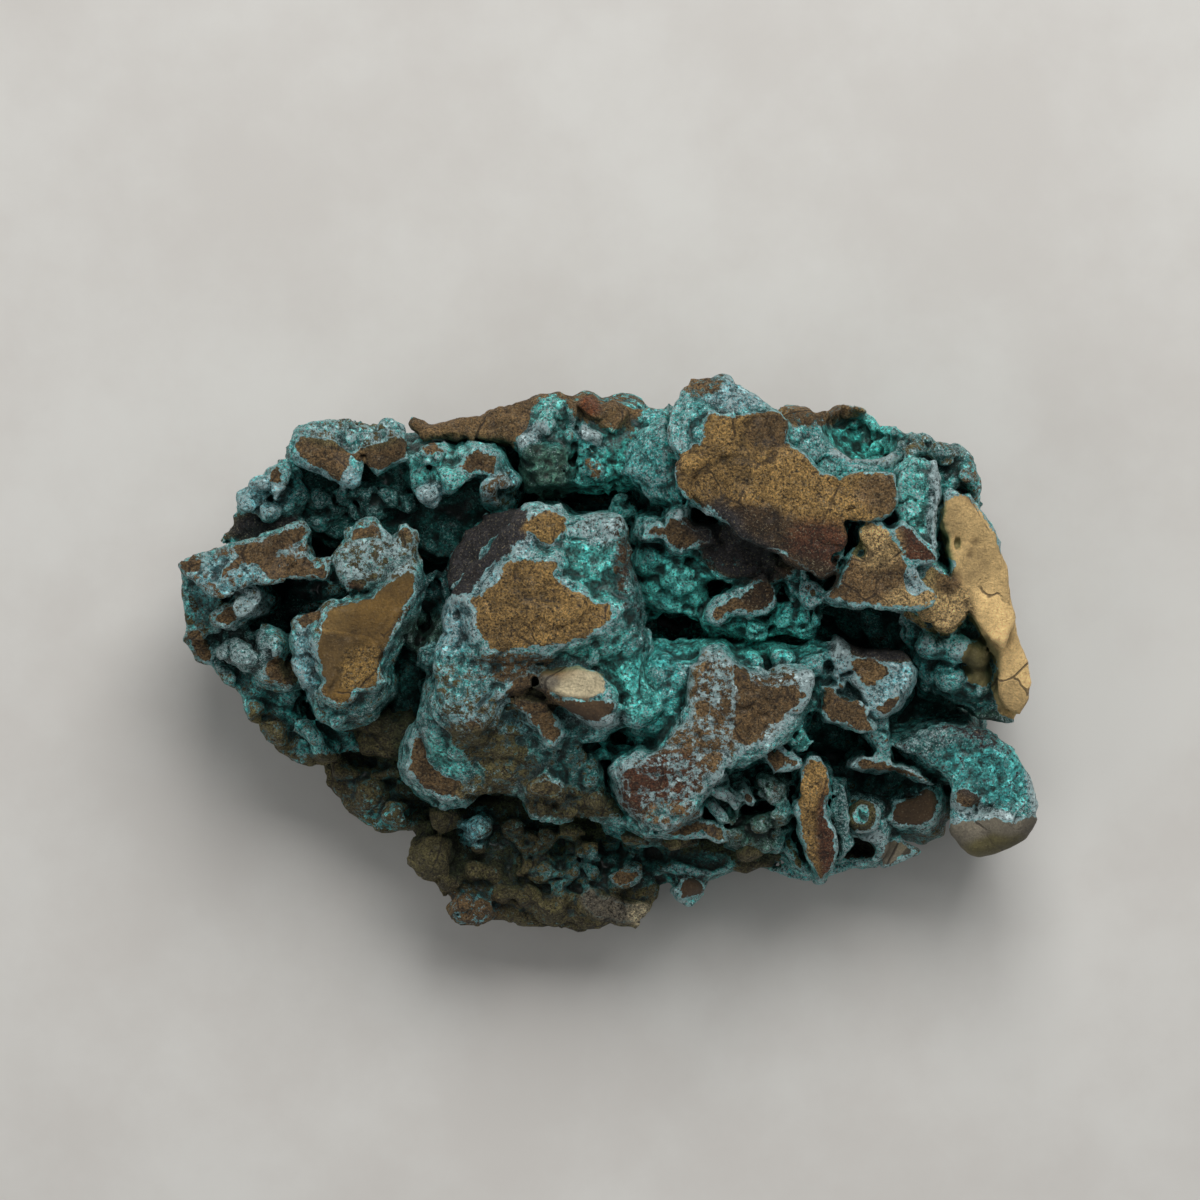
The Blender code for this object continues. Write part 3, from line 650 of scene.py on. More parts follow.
@dataclass
class Core(Cluster):
    """The body that carries the blocks: widest a little above the ground, with bead-floored hollows."""

    name: str = "core"
    fine: int = 2
    slabs: tuple[Slab, ...] = (
        Slab((-39.6,6, -36.5,12.6, -31,20.2, -5.1,24.6, 6.9,25.4, 18.9,24, 28.9,21.4, 35.2,17.4, 37.4,10,
            38,2, 36.8,-4.2, 32.6,-8, 32,-13, 28,-17, 18.9,-18.6, 10.5,-17.8, 2,-16.2, -15,-14, -20.4,-12.6,
            -27.4,-9, -33.8,-5, -39,0), 13, edge=3, flare=-0.38, foot=-3),
        # floor under the north-west beads
        Slab((-34,15, -31,20, -9,22, -10,14, -16,11, -27,12), 19.6, edge=2.4, flare=0.2, foot=5),
        # floor under the middle
        Slab((30,-2, 22,-8, 8,-8, -4,-12, -16,-10, -16,4, -12,12, 2,16, 16,10, 24,4), 16.5, edge=3.5,
            flare=0.4, foot=5),
        # north-east and east root
        Slab((4,24, 16,24, 28,21, 35.6,17, 37.4,8, 37.6,0, 34,-4, 18,6, 6,10), 18.5, edge=3, flare=0.1,
            foot=5),
    )
    skin: Skin = Skin(grain=0.4, bead=1.0, bead_size=2.5, crust=TEAL, stone=OLIVE, bare=0.3, dust=0.1)
    patches: tuple[Patch, ...] = (
        Patch((-24, 15.5), (11, 3.6), TEAL, bare=0.12, dust=0.12),
        Patch((14, 2.6), (9, 3), TURQUOISE, bare=0.05, dust=0.05),
        Patch((-31.5, 6), (5.5, 2.5), DEEP, bare=0.05),
    )


@dataclass
class SouthShelf(Cluster):
    """The lowest step, along the south side: olive-brown lumps with dull green between them."""

    name: str = "south_shelf"
    slabs: tuple[Slab, ...] = (
        Slab((-21.2,-15, -13,-13, -2,-14, 6,-16, 9,-20, 5.4,-24.4, 2.8,-26.6, -1.2,-27.8, -9.2,-27.6,
            -13.2,-27, -15.8,-26.2, -17.6,-23.6, -19.8,-21.8), 13.6, (0, 0.12), edge=2.4, flare=-0.25,
            foot=0.8),
        # south-west slope
        Slab((-30.8,-9, -24,-6.5, -18,-9, -14,-13, -17,-17.4, -20.4,-18.6, -23,-18.4, -26.4,-16.2,
            -28.6,-13.6, -29.8,-11.2), 12.5, (0.05, 0.15), edge=2, flare=-0.3, foot=2),
        # layered lumps under the amber plate
        Slab((-27.2,-5.4, -22.4,-5.2, -20.4,-6.6, -22.6,-7.4, -26.8,-7), 18.6, edge=1.1, foot=8),
        Slab((-26,-7.6, -22.6,-7.2, -20.2,-8, -19.6,-9.4, -23,-10, -25.8,-9.2), 17, edge=1.1, foot=8),
        Slab((-23.6,-6.2, -20.2,-5, -18.8,-6.4, -20.4,-8.4, -23,-8), 18, edge=1, foot=8),
        # rim block on the south edge, with a cream corner
        Slab((-3.4,-23.7, -2.4,-22.8, -1.5,-23.2, -1.2,-24, 0,-24, 2.3,-24.5, 3.8,-24.3, 4.4,-25.2, 2.3,-26.8,
            0.8,-27, -1.2,-26.8, -2.7,-26, -3.4,-24.8), 14.4, flare=0, foot=2, face=GREY, inset=0.5),
        # small rimmed break behind it
        Slab((-0.8,-22.2, -0.2,-21.2, 1.4,-20.8, 3,-20.8, 3.4,-21.9, 2,-22.9, 0.6,-23.5, -0.4,-23.2), 17.4,
            edge=0.5, foot=4, face=BROWN, inset=0.5),
        # bridge to the ringed knob
        Slab((4.4,-20.4, 6,-19.6, 8,-20.6, 10,-21, 12,-20.6, 12.2,-21.8, 9.6,-22.4, 5,-21.6), 15.4, edge=0.6,
            flare=0, foot=3),
        # low stone joining the shelf to the south-east
        Slab((18,-19.4, 16.4,-21.6, 10.4,-22.2, 9,-24.2, 6.6,-24.4, 4.4,-22.6, 3.6,-20, 4,-17.4, 14,-16.6),
            14.6, edge=1.4, flare=-0.1, foot=2),
    )
    domes: tuple[Dome, ...] = lumps(
        (-18.2, -20, 13.9, 2.7, 2.6, 3.6), (-14.2, -25.2, 13.1, 2.3, 1.9, 3.2),
        (-13.4, -17, 15.1, 1.5, 1.5, 3.6), (-13.4, -19.1, 14.1, 0.9, 0.8, 2.8),
        (7.8, -23.1, 14.1, 1.6, 1.4, 4.2), (-10.2, -17.2, 15.5, 1.5, 1.3, 2.6),
        (-8.2, -18.6, 14.9, 1.7, 1.4, 2.6), (-6.6, -18, 15.9, 1.3, 1.2, 2.4),
        (-4, -17.4, 16.1, 1.8, 1.3, 2.6), (-2.4, -19.2, 15.3, 1.5, 1.3, 2.6),
        (-0.6, -19.6, 15.1, 1.5, 1.2, 2.4), (-4.2, -21, 14.7, 1.5, 1.3, 2.4), (-2, -21.6, 14.5, 1.1, 1, 2.6),
        (-9, -20.8, 14.5, 1.5, 1.2, 2.6), (-7, -21.2, 13.9, 1.5, 1.3, 2.6),
        (-13.8, -21.4, 13.7, 1.6, 1.3, 2.8), (-12, -21.6, 13.7, 1.4, 1.4, 2.6),
        (-11, -23.8, 13.1, 1.8, 1.3, 2.6), (-8.6, -24.2, 12.9, 1.6, 1.4, 2.6),
        (-6.4, -25, 12.7, 1.8, 1.3, 2.6), (-16.4, -22.4, 13.3, 1.5, 1.3, 2.6),
        (-4.6, -23.4, 13.7, 1.5, 1.2, 2.6), (-21.6, -15.6, 15.5, 2, 1.5, 3.4),
        (-24.4, -13.4, 11.6, 1.9, 1.6, 3.2), (-20, -13, 13, 2, 1.5, 3), (-26.6, -10.8, 13, 2, 1.4, 3),
        (-23, -10.8, 13.4, 2.2, 1.4, 2.8), (-17, -15.8, 15.9, 1.8, 1.4, 2.8), (2.6, -18.2, 16.9, 1.6, 1.2, 3),
        (6.4, -18.4, 17.7, 1.5, 1.2, 3.2), (10.2, -19, 16.9, 1.6, 1.3, 2.8), (14, -19.2, 16.7, 2, 1.6, 2.8),
    )
    hollows: tuple[Dome, ...] = lumps(
        (-10, -20.8, 17.5, 0.9, 0.8, 4), (-5.2, -20, 17.5, 0.8, 1.3, 4.5), (-8.5, -18.4, 17.9, 0.5, 0.5, 3),
        (-4.2, -23, 16.5, 1, 0.7, 3.5), (-19.4, -15.6, 18, 1.2, 0.9, 4),
        (-24.6, -10.4, 15.5, 2.6, 0.8, 3.4, -6), (3.4, -19.6, 17.5, 5, 0.9, 3.6, -4),
        (5.4, -22.4, 15.5, 0.9, 0.8, 3),
    )
    faces: tuple[Face, ...] = (
        Face((6.7,-23.1, 7.2,-22.2, 8,-22, 8.9,-22.6, 9,-23.4, 8.4,-24, 7.3,-24), DARK, 2.5, True),
    )
    patches: tuple[Patch, ...] = (
        Patch((-18.2, -20), (3.2, 3.2), MOSS, OLIVE, bare=0.85),
        Patch((-14.2, -25), (2.6, 2), SKY, BROWN, bare=0.6, dust=0.25),
        Patch((-13.4, -17), (1.9, 1.9), SKY, bare=0.25, dust=0.2),
        Patch((-3, -21.6), (4.5, 2.4), TEAL, bare=0.45, dust=0.05),
        Patch((2, -20.6), (5, 2.2), TEAL, bare=0.35, dust=0.1),
        Patch((7.8, -23), (2.6, 2.4), TURQUOISE, bare=0.05, dust=0.3),
        Patch((9.4, -21.2), (3, 1.4), TURQUOISE, bare=0.15, dust=0.3),
        Patch((3, -25.6), (1.2, 1.2), stone=CREAM, bare=0.9), Patch((-8.2, -18), (4.5, 2.4), MOSS, bare=0.55),
        Patch((-24.6, -8.6), (5.5, 2.4), MOSS, OLIVE, bare=0.8, dust=0.1),
        Patch((-23, -12.8), (5, 2.8), TEAL, bare=0.6, dust=0.1),
        Patch((-22.5, -16), (3, 1.6), TURQUOISE, bare=0.5, dust=0.2),
    )
    skin: Skin = Skin(grain=0.45, bead=0.6, bead_size=2.2, crust=MOSS, stone=OLIVE, bare=0.72, dust=0.08)


@dataclass
class WestLedges(Cluster):
    """The west end: a long brown ledge, a dusted knob and the amber plate in its collar."""

    name: str = "west_ledges"
    slabs: tuple[Slab, ...] = (
        Slab((-27.6,8.8, -28.2,8, -30.4,8.1, -35.6,7.7, -38.8,6, -40,6.4, -42.4,7.8, -43.3,8.8, -43.2,10.1,
            -33,13.4, -30.8,13.9, -30.2,13, -30.5,12, -29,9.9, -28,10.6, -27.6,10), 29.4, (0.02, 0), edge=0.6,
            flare=-0.05, foot=11, face=BROWN, inset=0.5),
        Slab((-34.5,6, -37.3,4.1, -38,5.4, -37.6,6.4, -35.2,7.4), 27.4, edge=0.5, foot=12),
        Slab((-40.2,4.4, -38,6, -37,4.8, -36.8,3.8, -38.6,3, -40,3.3), 25.4, edge=0.5, foot=11, face=BROWN,
            inset=0.5),
        Slab((-43.2,9.4, -41,9.4, -38.6,6.6, -38.8,2.6, -41,1.6, -43.1,2.2, -42.9,3.2, -43.4,4.6, -43.8,7),
            22.5, (0.2, 0.1), edge=1.2, flare=-0.12, foot=8),
        Slab((-42.9,3.2, -41.4,3.4, -40.4,1.6, -40.2,-1, -42.2,0, -43.2,2), 19, (0.3, 0.2), edge=0.9,
            flare=-0.1, foot=8, face=BROWN, inset=0.4),
        Slab((-19,12.2, -19.6,10.4, -20.4,9.6, -22,8.2, -24.2,7, -26.2,6.5, -27.2,7.8, -27.4,10, -27,11.5,
            -26.2,12.8, -25.4,13.5, -24,13.8, -22.8,12.9, -22,12.6, -21.4,13.6, -20.4,13.9, -19.4,13.2), 30.8,
            (0.03, -0.04), edge=1.5, flare=0, foot=11),
        # amber plate
        Slab((-20.1,9.7, -19.5,8.7, -19.4,6.8, -20.3,5.7, -21.5,2.8, -23.1,0, -23.2,-2, -24.2,-2.9, -25.6,-3,
            -26.3,-4.2, -27.4,-4.6, -28.6,-4, -29,-3, -28.7,-1.8, -29.5,0.3, -29.4,1.4, -28.9,2.3, -28.8,3.5,
            -28.2,5, -27.2,5.8, -23.8,6.5, -21.2,9), 32.3, (0.05, 0.03), edge=0.35, flare=0.25, foot=27.5,
            face=AMBER, inset=0.15),
        # its facets
        Slab((-21.4,6.1, -22.6,5.8, -24,4.3, -25.2,3.2, -25.2,1.9, -24.6,1.8, -22.9,3.4, -21.8,5), 32.35,
            (0.22, -0.3), edge=0.15, flare=0, foot=31, blend=0.15),
        Slab((-28.6,2.6, -25.6,2.2, -26,0.9, -27,-0.2, -28,-3, -28.4,-2.2, -29,0.6), 32.3, (0.24, -0.1),
            edge=0.15, flare=0, foot=31, blend=0.15),
        Slab((-30.4,4.9, -28.8,5.2, -27.4,5, -25,2, -21.8,1.2, -22.3,-0.4, -22.6,-3.6, -24,-5.2, -26.4,-6.5,
            -27.7,-6.5, -28.8,-6, -29.8,-4.9, -31.1,-2, -31.4,0, -31.2,3.8), 29.6, (0, 0.1), edge=1.3,
            flare=0.05, foot=10),
        Slab((-31.2,-5.6, -28,-5.8, -25.6,-6.6, -26.2,-9.8, -29.4,-9.4, -31.4,-7.4), 16, edge=1.4, foot=6),
        # wedge and spur east of it
        Slab((-17,4.9, -16.2,4, -17.4,0, -18.4,-0.8, -21,1.8, -20.2,4.6, -19,4.2), 24, (0.1, 0.1), edge=1,
            foot=10),
        # lower west slope
        Slab((-40.6,3.6, -37.4,4.2, -31.8,2.8, -30.8,0, -30.8,-4, -32,-5.4, -37.1,-4.2, -42,0.4), 19.6,
            (0.2, 0.2), edge=1.6, flare=-0.15, foot=6),
        Slab((-36.9,-4.6, -34.6,-3.6, -31.2,-3.2, -30.4,-5.6, -27.4,-8.6, -27.4,-10.4, -30.7,-11.1,
            -32.6,-10.4, -35.4,-8.2, -36.8,-6), 17.6, (0.1, 0.2), edge=1.8, flare=-0.2, foot=3),
    )
    domes: tuple[Dome, ...] = lumps(
        (-17.9, 11.5, 26.4, 1, 0.9, 2), (-17.2, 7.5, 22, 1.9, 1.8, 6), (-38.2, 0.9, 20.5, 1.6, 1.3, 3),
        (-36.4, 0.2, 21.4, 1.5, 1.2, 2.6), (-34, 1.6, 22, 1.5, 1.9, 3, 20), (-34.4, -0.6, 21, 1.2, 1.6, 3),
        (-33, -2, 20.6, 2, 1.2, 2.6), (-38.8, -1.6, 18.6, 1.4, 1, 2.6, -40), (-32.2, 6.2, 21, 0.9, 0.9, 1.8),
        (-28.2, 7, 22, 1.1, 1, 2.2), (-30.2, 6, 20.4, 0.9, 0.8, 1.6), (-33.9, -7.2, 18.6, 1.8, 1.2, 2.4, -30),
        (-30.4, -7.4, 19.6, 1.8, 1.1, 2.2, -40), (-29.2, -9.4, 17.8, 1.5, 1.1, 2.6, -30),
        (-36, -5.2, 18, 1, 1.2, 2.4),
    )
    hollows: tuple[Dome, ...] = lumps(
        (-32, 5.3, 25, 4, 1.5, 9, 8), (-36.2, 3.4, 24, 1.6, 0.8, 6, 30), (-20, -2.2, 23, 1.5, 3.6, 8, 16),
        (-29.1, 11.9, 30, 0.8, 1.5, 5, -10), (-40.4, 2, 22.5, 0.8, 0.8, 4), (-35.9, 1.3, 22, 0.5, 0.9, 2),
        (-31.6, -8.4, 19.6, 1.2, 0.6, 2, -35),
    )
    faces: tuple[Face, ...] = (
        Face((-21.6,11.8, -23,11.5, -25,11.8, -26.6,11.2, -25.9,13, -24,13.4), BROWN, 2.4),
        Face((-20.3,13.4, -19.5,12.6, -19.5,11.4, -20.6,10.4, -21.8,11.2, -21.6,12.9), BROWN, 2.4),
        Face((-26,8.6, -24.6,8.9, -23.8,7.9, -25.4,7, -26.4,7.6), RED, 2.6),
        Face((-31,3.8, -30.1,4.6, -28.7,4.8, -28.4,4.3, -30.5,3.1), BROWN),
        Face((-35,-0.2, -33.2,0.6, -31.6,-0.4, -31.6,-2.6, -33.4,-2.6, -34.8,-1.6), BROWN, 3),
        Face((-20.2,9, -19.8,8.6, -19.8,7.2, -21,5.4, -22.6,2, -24,-1.8, -26.6,-3.6, -28.2,-3.4, -28.4,3.4,
            -26.4,5.6, -23.8,6.2, -22,7.8), AMBER, 1.5, True),
        # amber facets in painted shade
        Face((-21.4,6.1, -22.6,5.8, -24,4.3, -25.2,3.2, -25.2,1.9, -24.6,1.8, -22.9,3.4, -21.8,5), SHADED_AMBER, 1.5,
            True),
        Face((-28.6,2.6, -25.6,2.2, -26,0.9, -27,-0.2, -28,-3, -28.4,-2.2, -29,0.6), SHADED_AMBER, 1.5, True),
        # amber in painted light
        Face((-28,5, -25.4,5.4, -24.6,4.4, -26,3.1, -28.4,3), LIT_AMBER, 1.5, True),
        Face((-26,1, -24.4,1.4, -22.6,1.3, -23.4,-1.4, -25,-3, -26.8,-2.6, -26.9,-0.6), LIT_AMBER, 1.5),
    )
    patches: tuple[Patch, ...] = (
        Patch((-38.2, 8.3), (3.2, 2.2), SKY, turn=15, dust=0.35, cover=1.6),
        Patch((-32.4, 10.6), (1.9, 1.1), FROST, turn=15, dust=0.6, bare=0.5, cover=1.2),
        Patch((-23, 10.2), (4.2, 2.2), BRIGHT, OLIVE, turn=10, dust=0.72, bare=0.48, cover=0.6),
        Patch((-36.2, 5.8), (1.8, 1.6), FROST, dust=0.6, bare=0.35),
        Patch((-22.6, 5), (3.6, 2.2), turn=40, stone=AMBER, above=28),
        Patch((-30.4, 0), (1, 4), SKY, dust=0.35, bare=0.15),
        Patch((-24, -4.6), (3.2, 1.4), TEAL, turn=30, dust=0.2, bare=0.35),
        Patch((-18.6, 2.2), (2.6, 2.6), MOSS, dust=0.15, bare=0.1),
        Patch((-17.4, 7.4), (2.4, 2.2), DEEP, dust=0.05, bare=0.05),
        Patch((-31, -6.6), (4.4, 2.2), TURQUOISE, turn=-35, dust=0.25, bare=0.3),
        Patch((-34.6, -7.6), (3, 2), TEAL, turn=-35, dust=0.2, bare=0.6),
        Patch((-28.8, -10.6), (2.4, 1), turn=-10, bare=0.8),
        Patch((-41.6, 3), (1.2, 3.2), bare=0.5, dust=0.2),
        Patch((-37, 1), (3.4, 2.6), TEAL, dust=0.4, bare=0.2),
    )
    skin: Skin = Skin(crust=TURQUOISE, bare=0.40, dust=0.25)


@dataclass
class NorthWestKnobs(Cluster):
    """The north-west corner: the brown-capped knob, the ringed crater, a small plate and their bead floor."""

    name: str = "north_west_knobs"
    slabs: tuple[Slab, ...] = (
        Slab((-32.2,20, -32,22, -31.2,23.3, -30,24, -28.2,24.3, -25.2,23.6, -21.8,23.8, -20.6,22.8,
            -20.6,20.2, -22.4,19.6, -23.4,18.6, -24.8,19.6, -24.8,17.9, -25.4,17.4, -26.7,17.6, -30.8,19.8),
            29.4, (0, -0.08), edge=1.6, flare=-0.03),
        Slab((-32.6,19.8, -32.2,18.4, -33.6,16.2, -34.7,18.2, -34.8,19.2, -34,19.8), 25, (0.1, 0), edge=0.5,
            flare=-0.03),
        # charcoal wedge
        Slab((-31,14.4, -31.4,12.6, -38.4,11.4, -39.4,11.9, -38.6,12.8, -37.2,15.6, -35.6,14.9, -34.4,14,
            -32,13.9), 20.5, (0.1, 0), edge=0.9, flare=-0.05, foot=8),
        # west rim under the knob
        Slab((-37.8,14.6, -37.6,16.4, -34.8,19.2, -32.6,19.9, -31,18.6, -31.6,15.4, -34,14), 21, (0.1, -0.1),
            edge=1.4, flare=-0.1, foot=8),
        # small plate
        Slab((-15.8,19.2, -15.2,20.2, -14,21.1, -12.6,21.1, -11.6,20.6, -11.2,19.5, -9.9,17.8, -10.3,16.7,
            -11.2,15.8, -12.3,16.6, -12.4,18, -12.8,18.8, -13.7,18.8, -14.5,18.3, -15.5,18.7), 29.4, edge=0.8,
            flare=0.12, foot=11, face=BROWN, inset=0.35),
        # collar of the crater
        Slab((-20.4,20.4, -19,21.2, -16.6,21, -15.6,19.4, -15.8,17.6, -17,16.4, -18.6,15.8, -20,17.2), 27,
            edge=1.8, flare=0.1, foot=10),
    )
    domes: tuple[Dome, ...] = lumps(
        (-18.2, 16.4, 26.6, 1.1, 1, 2.6), (-16.2, 18.2, 27.2, 1.2, 1.2, 2.6),
        (-18, 20.6, 27.8, 1.3, 0.9, 2.2), (-11.2, 17.3, 27.6, 1.5, 1.5, 3), (-36.6, 15.7, 22.6, 1.1, 1, 2.2),
        (-34.4, 14.6, 21.8, 1, 1, 2), (-35.2, 17.4, 22.6, 1.2, 1, 2.2), (-31.2, 16.5, 19.8, 1.4, 1.2, 2.2),
        (-29.4, 16.2, 19.4, 1.4, 1.2, 2.4), (-27.6, 15, 18.6, 1.3, 1.2, 2.4),
        (-25.7, 14.6, 19, 1.3, 1.2, 2.2), (-26.8, 16.6, 20.6, 1.2, 1.1, 2.2),
        (-23.7, 15, 19.8, 1.6, 1.4, 2.6), (-23.9, 17.1, 21.6, 1.5, 1.3, 2.6),
        (-22.2, 16.4, 21.4, 1.5, 1.4, 2.8), (-20.4, 15.6, 21, 1.3, 1.3, 2.6), (-32.6, 15, 19.2, 1, 0.9, 2),
        (-29.2, 14, 18.4, 1.2, 0.9, 2), (-16, 11.6, 20, 1, 0.9, 2), (-13.4, 12.9, 20.4, 1.1, 0.9, 2),
        (-18.2, 13.8, 20.4, 1.4, 1.2, 2.6),
    )
    hollows: tuple[Dome, ...] = lumps(
        (-18, 19.1, 29, 0.9, 0.8, 5), (-19.8, 21.6, 28, 0.8, 1.1, 6), (-14.2, 17, 26, 1.2, 1, 8),
    )
    faces: tuple[Face, ...] = (
        Face((-31.4,22.4, -30,23, -28.4,22.9, -26.8,22.2, -25.9,20.6, -26.4,18.8, -27.2,18, -31.2,20.3,
            -31.9,21.2), BROWN, 2.2),
        Face((-20.3,21.8, -20.7,20.2, -23.1,19, -24.3,19.1, -25.5,20, -25.6,20.8, -24.4,22.4, -22.2,23.2,
            -20.8,23.2), BROWN, 2.2),
        Face((-34.5,19, -33.8,19.3, -33.3,18.5, -33.6,17.4, -34.2,17.6), BROWN, 1.5),
        Face((-18.9,21.3, -17.6,21.6, -17,20.6, -18.2,20.3), BROWN, 2),
    )
    patches: tuple[Patch, ...] = (
        Patch((-26, 22.6), (4.8, 1.5), TURQUOISE, OLIVE, dust=0.5, bare=0.45, cover=1.1),
        Patch((-28, 18.6), (3.6, 1.2), SKY, turn=-15, dust=0.35, bare=0.15),
        Patch((-17.2, 18.6), (3, 2.8), BRIGHT, dust=0.25, bare=0.02),
        Patch((-18.2, 16.4), (1.3, 1.2), SKY, dust=0.6),
        Patch((-11, 17.2), (1.6, 1.7), SKY, dust=0.6, bare=0.45, cover=0.8),
        Patch((-35, 16.2), (2.6, 2), SKY, dust=0.4, bare=0.25),
        Patch((-34.6, 13.6), (4.2, 1.6), TEAL, CHARCOAL, turn=10, bare=0.95, below=21.5),
        Patch((-24, 15.4), (9, 2.4), TEAL, dust=0.2, bare=0.1, below=23.5),
        Patch((-14.8, 12.6), (4, 2), DEEP, dust=0, bare=0, below=22),
    )
    skin: Skin = Skin(bead_size=1.7, crust=TURQUOISE, bare=0.26, dust=0.2)


@dataclass
class CentreBlock(Cluster):
    """The big middle block: a broken brown crown, a cream knob and slopes down to the south."""

    name: str = "centre_block"
    slabs: tuple[Slab, ...] = (
        Slab((0.6,14, 2.2,8.8, 3.3,1.4, 1.6,0.4, -9.6,-3.8, -11.4,-6, -13.4,-7.8, -15.8,-7.4, -17.4,-5.4,
            -17.9,-2.4, -17.5,1, -16.8,4.2, -15.4,7.2, -13.6,9.6, -10,13.2, -9.4,14.6, -8.2,15.3, -6.7,15.4,
            -5.4,15, -4.4,14, -0.6,14.4), 34.6, (0.02, 0.13), edge=1.8, flare=0.02, foot=10),
        # crown
        Slab((0,3.8, -1.8,2.8, -6.6,1, -12.4,1.2, -13.6,2.2, -14.2,5.8, -11.6,8, -10.8,9.6, -9.6,10.4,
            -7.6,10.6, -5.6,10.4, -5.2,8.6, -2,6.1, -0.4,5.8, 0.5,5), 37, (0, 0.06), edge=0.9, flare=0.6,
            foot=33.4),
        # charcoal break on the north-west side: dark grey matrix, its dark colour partly painted shade for
        # this steep wall
        Slab((-8.6,14.8, -8.6,12.5, -13,9, -14.2,6.8, -16.2,6.6, -16.9,8, -16.2,10.6, -14.4,12.9, -12.2,14.7,
            -10,15.3), 27.4, (0.75, -0.55), edge=0.5, flare=0, foot=12, face=CHARCOAL, inset=-0.3),
        # south slope
        Slab((-17.2,-0.4, -14,0.4, 0,0.6, 2.6,-2, 3.8,-4.4, 2.4,-6.4, 0,-7.2, -1.4,-9.6, -1,-12.6, 2.4,-16.6,
            -3.7,-15.6, -7.9,-15.6, -9,-14.2, -11.2,-13.2, -14,-13.2, -16.2,-12, -18.4,-8.2, -19,-5.4,
            -18.6,-2.6), 27.4, (0, 0.62), edge=1.8, flare=0.04, foot=10),
        # west cheek
        Slab((-18.8,-4, -17.6,-1.6, -14.6,-0.8, -12.6,-2.6, -11.4,-5.6, -13.4,-8.4, -15.4,-7.8, -17.4,-6),
            31.8, (0.05, 0.25), edge=1.6, flare=0.04, foot=14),
        # cream knob
        Slab((-7.6,-1, -6.2,-0.6, -3.2,-0.3, -1.6,-0.6, 0.2,-3.4, 0.4,-4.6, 0.2,-5.8, -1.2,-6.2, -3.4,-5.6,
            -7,-3.2, -7.9,-2.2), 34.4, (0, 0.08), edge=1.3, flare=0.12, foot=22),
        # turquoise saddle east of it
        Slab((-1.4,0.2, 0.4,1.2, 2.4,1.4, 3.3,0.4, 2.8,-0.8, 4.9,-4.7, 3.8,-5.9, 2.4,-6.3, 1,-5, 0.6,-3,
            -0.2,-1.4), 31.6, (-0.2, 0.15), edge=1.8, flare=0.1, foot=16),
        # brown tongue
        Slab((-10.7,-3.7, -8.7,-3.6, -7,-4, -5.8,-5, -5,-6.2, -4.6,-7.6, -5.4,-8.8, -6.8,-8, -8.4,-5.3,
            -9.8,-4.9), 31.2, (0, 0.42), edge=0.6, flare=0.25, foot=18, face=BROWN, inset=0.35),
        # small rimmed break on the lower slope
        Slab((-8.6,-12.4, -6.6,-11.1, -5.5,-11.9, -4.8,-12.8, -5.1,-13.9, -6.8,-14, -8.2,-13.4), 27.2,
            (0, 0.25), edge=0.4, flare=0.1, foot=16, face=BROWN, inset=0.45),
        # rimmed oval below the west cheek
        Slab((-19.3,-7.2, -18.4,-6.8, -17.6,-8, -17.4,-9.4, -16.6,-10.8, -15.2,-11.2, -13.9,-12.8, -15.2,-14,
            -17.2,-14.4, -18.9,-13.4, -20,-12.2, -20.6,-10.4, -20.3,-8.6), 24.6, (0.1, 0.12), edge=0.5,
            flare=0.12, face=BROWN, inset=0.55),
    )
    domes: tuple[Dome, ...] = lumps(
        (-18.2, 0.6, 23.4, 1.4, 1.8, 4), (-7, -14.8, 22.4, 1.5, 1.2, 2.6), (-4.6, -15.4, 21.8, 1.9, 1.1, 2.6),
        (-1.6, -14.2, 24.4, 1.2, 1.2, 2.2), (-0.6, -9, 22.4, 1.3, 1.2, 3), (1.4, -9.4, 22, 1.4, 1.2, 3),
        (3.2, -8.8, 21.4, 1.3, 1.2, 3), (2.8, -6.9, 22.6, 1.6, 1.2, 3.4),
    )
    hollows: tuple[Dome, ...] = lumps(
        (-7.7, -2, 33.2, 0.35, 0.35, 2), (1.2, -9, 27.8, 3.6, 0.9, 4.6, -8),
        (-4.2, -12.2, 27.4, 1.3, 0.4, 2, -40), (-9.2, -9, 31, 0.8, 1, 2.6),
        (-12, -10, 28.8, 1.6, 0.5, 1.6, -20),
    )
    faces: tuple[Face, ...] = (
        Face((0,4.2, -0.9,3.4, -4.2,2, -5.7,1.8, -6.7,1.3, -8.2,1.5, -11.4,0.8, -12.4,1.4, -13.7,3.2,
            -13.5,4.2, -14,5.9, -11.4,7.8, -10.7,8.8, -10.7,9.7, -9.7,10, -8.2,9.8, -5.7,10, -5.6,8.8, -5,8,
            -2.2,6, -0.7,5.8, 0.3,5.2), GOLDEN, 2.4),
        Face((-4.4,13, -5.9,11.5, -8.6,13, -7.7,14.3, -6.4,14.6, -5.2,14.4, -4.6,13.8), GOLDEN, 2.4),
        Face((-6.9,-0.8, -3.2,-0.4, -1.7,-0.8, -1,-2, -1.2,-3.2, -2.2,-4, -3.7,-4, -6.7,-3, -7.2,-2.2), CREAM,
            3, True),
        Face((-5.2,-3.9, -1.2,-4.2, 0,-4.5, 0.3,-5.2, -1.2,-6, -2.7,-6, -4.2,-5.5, -5.2,-4.8), DARK, 3, True),
        Face((-14.4,-6, -13.4,-5.8, -12.7,-6.8, -13,-7.8, -13.8,-7.4), RED, 3),
        Face((-10.4,-3, -9.6,-1.8, -8.2,-1, -7.2,-1.2, -6.8,-2.6, -5,-4.2, -5.6,-5.4, -8.8,-4.6, -10.2,-4.6),
            BROWN, 4.5),
    )
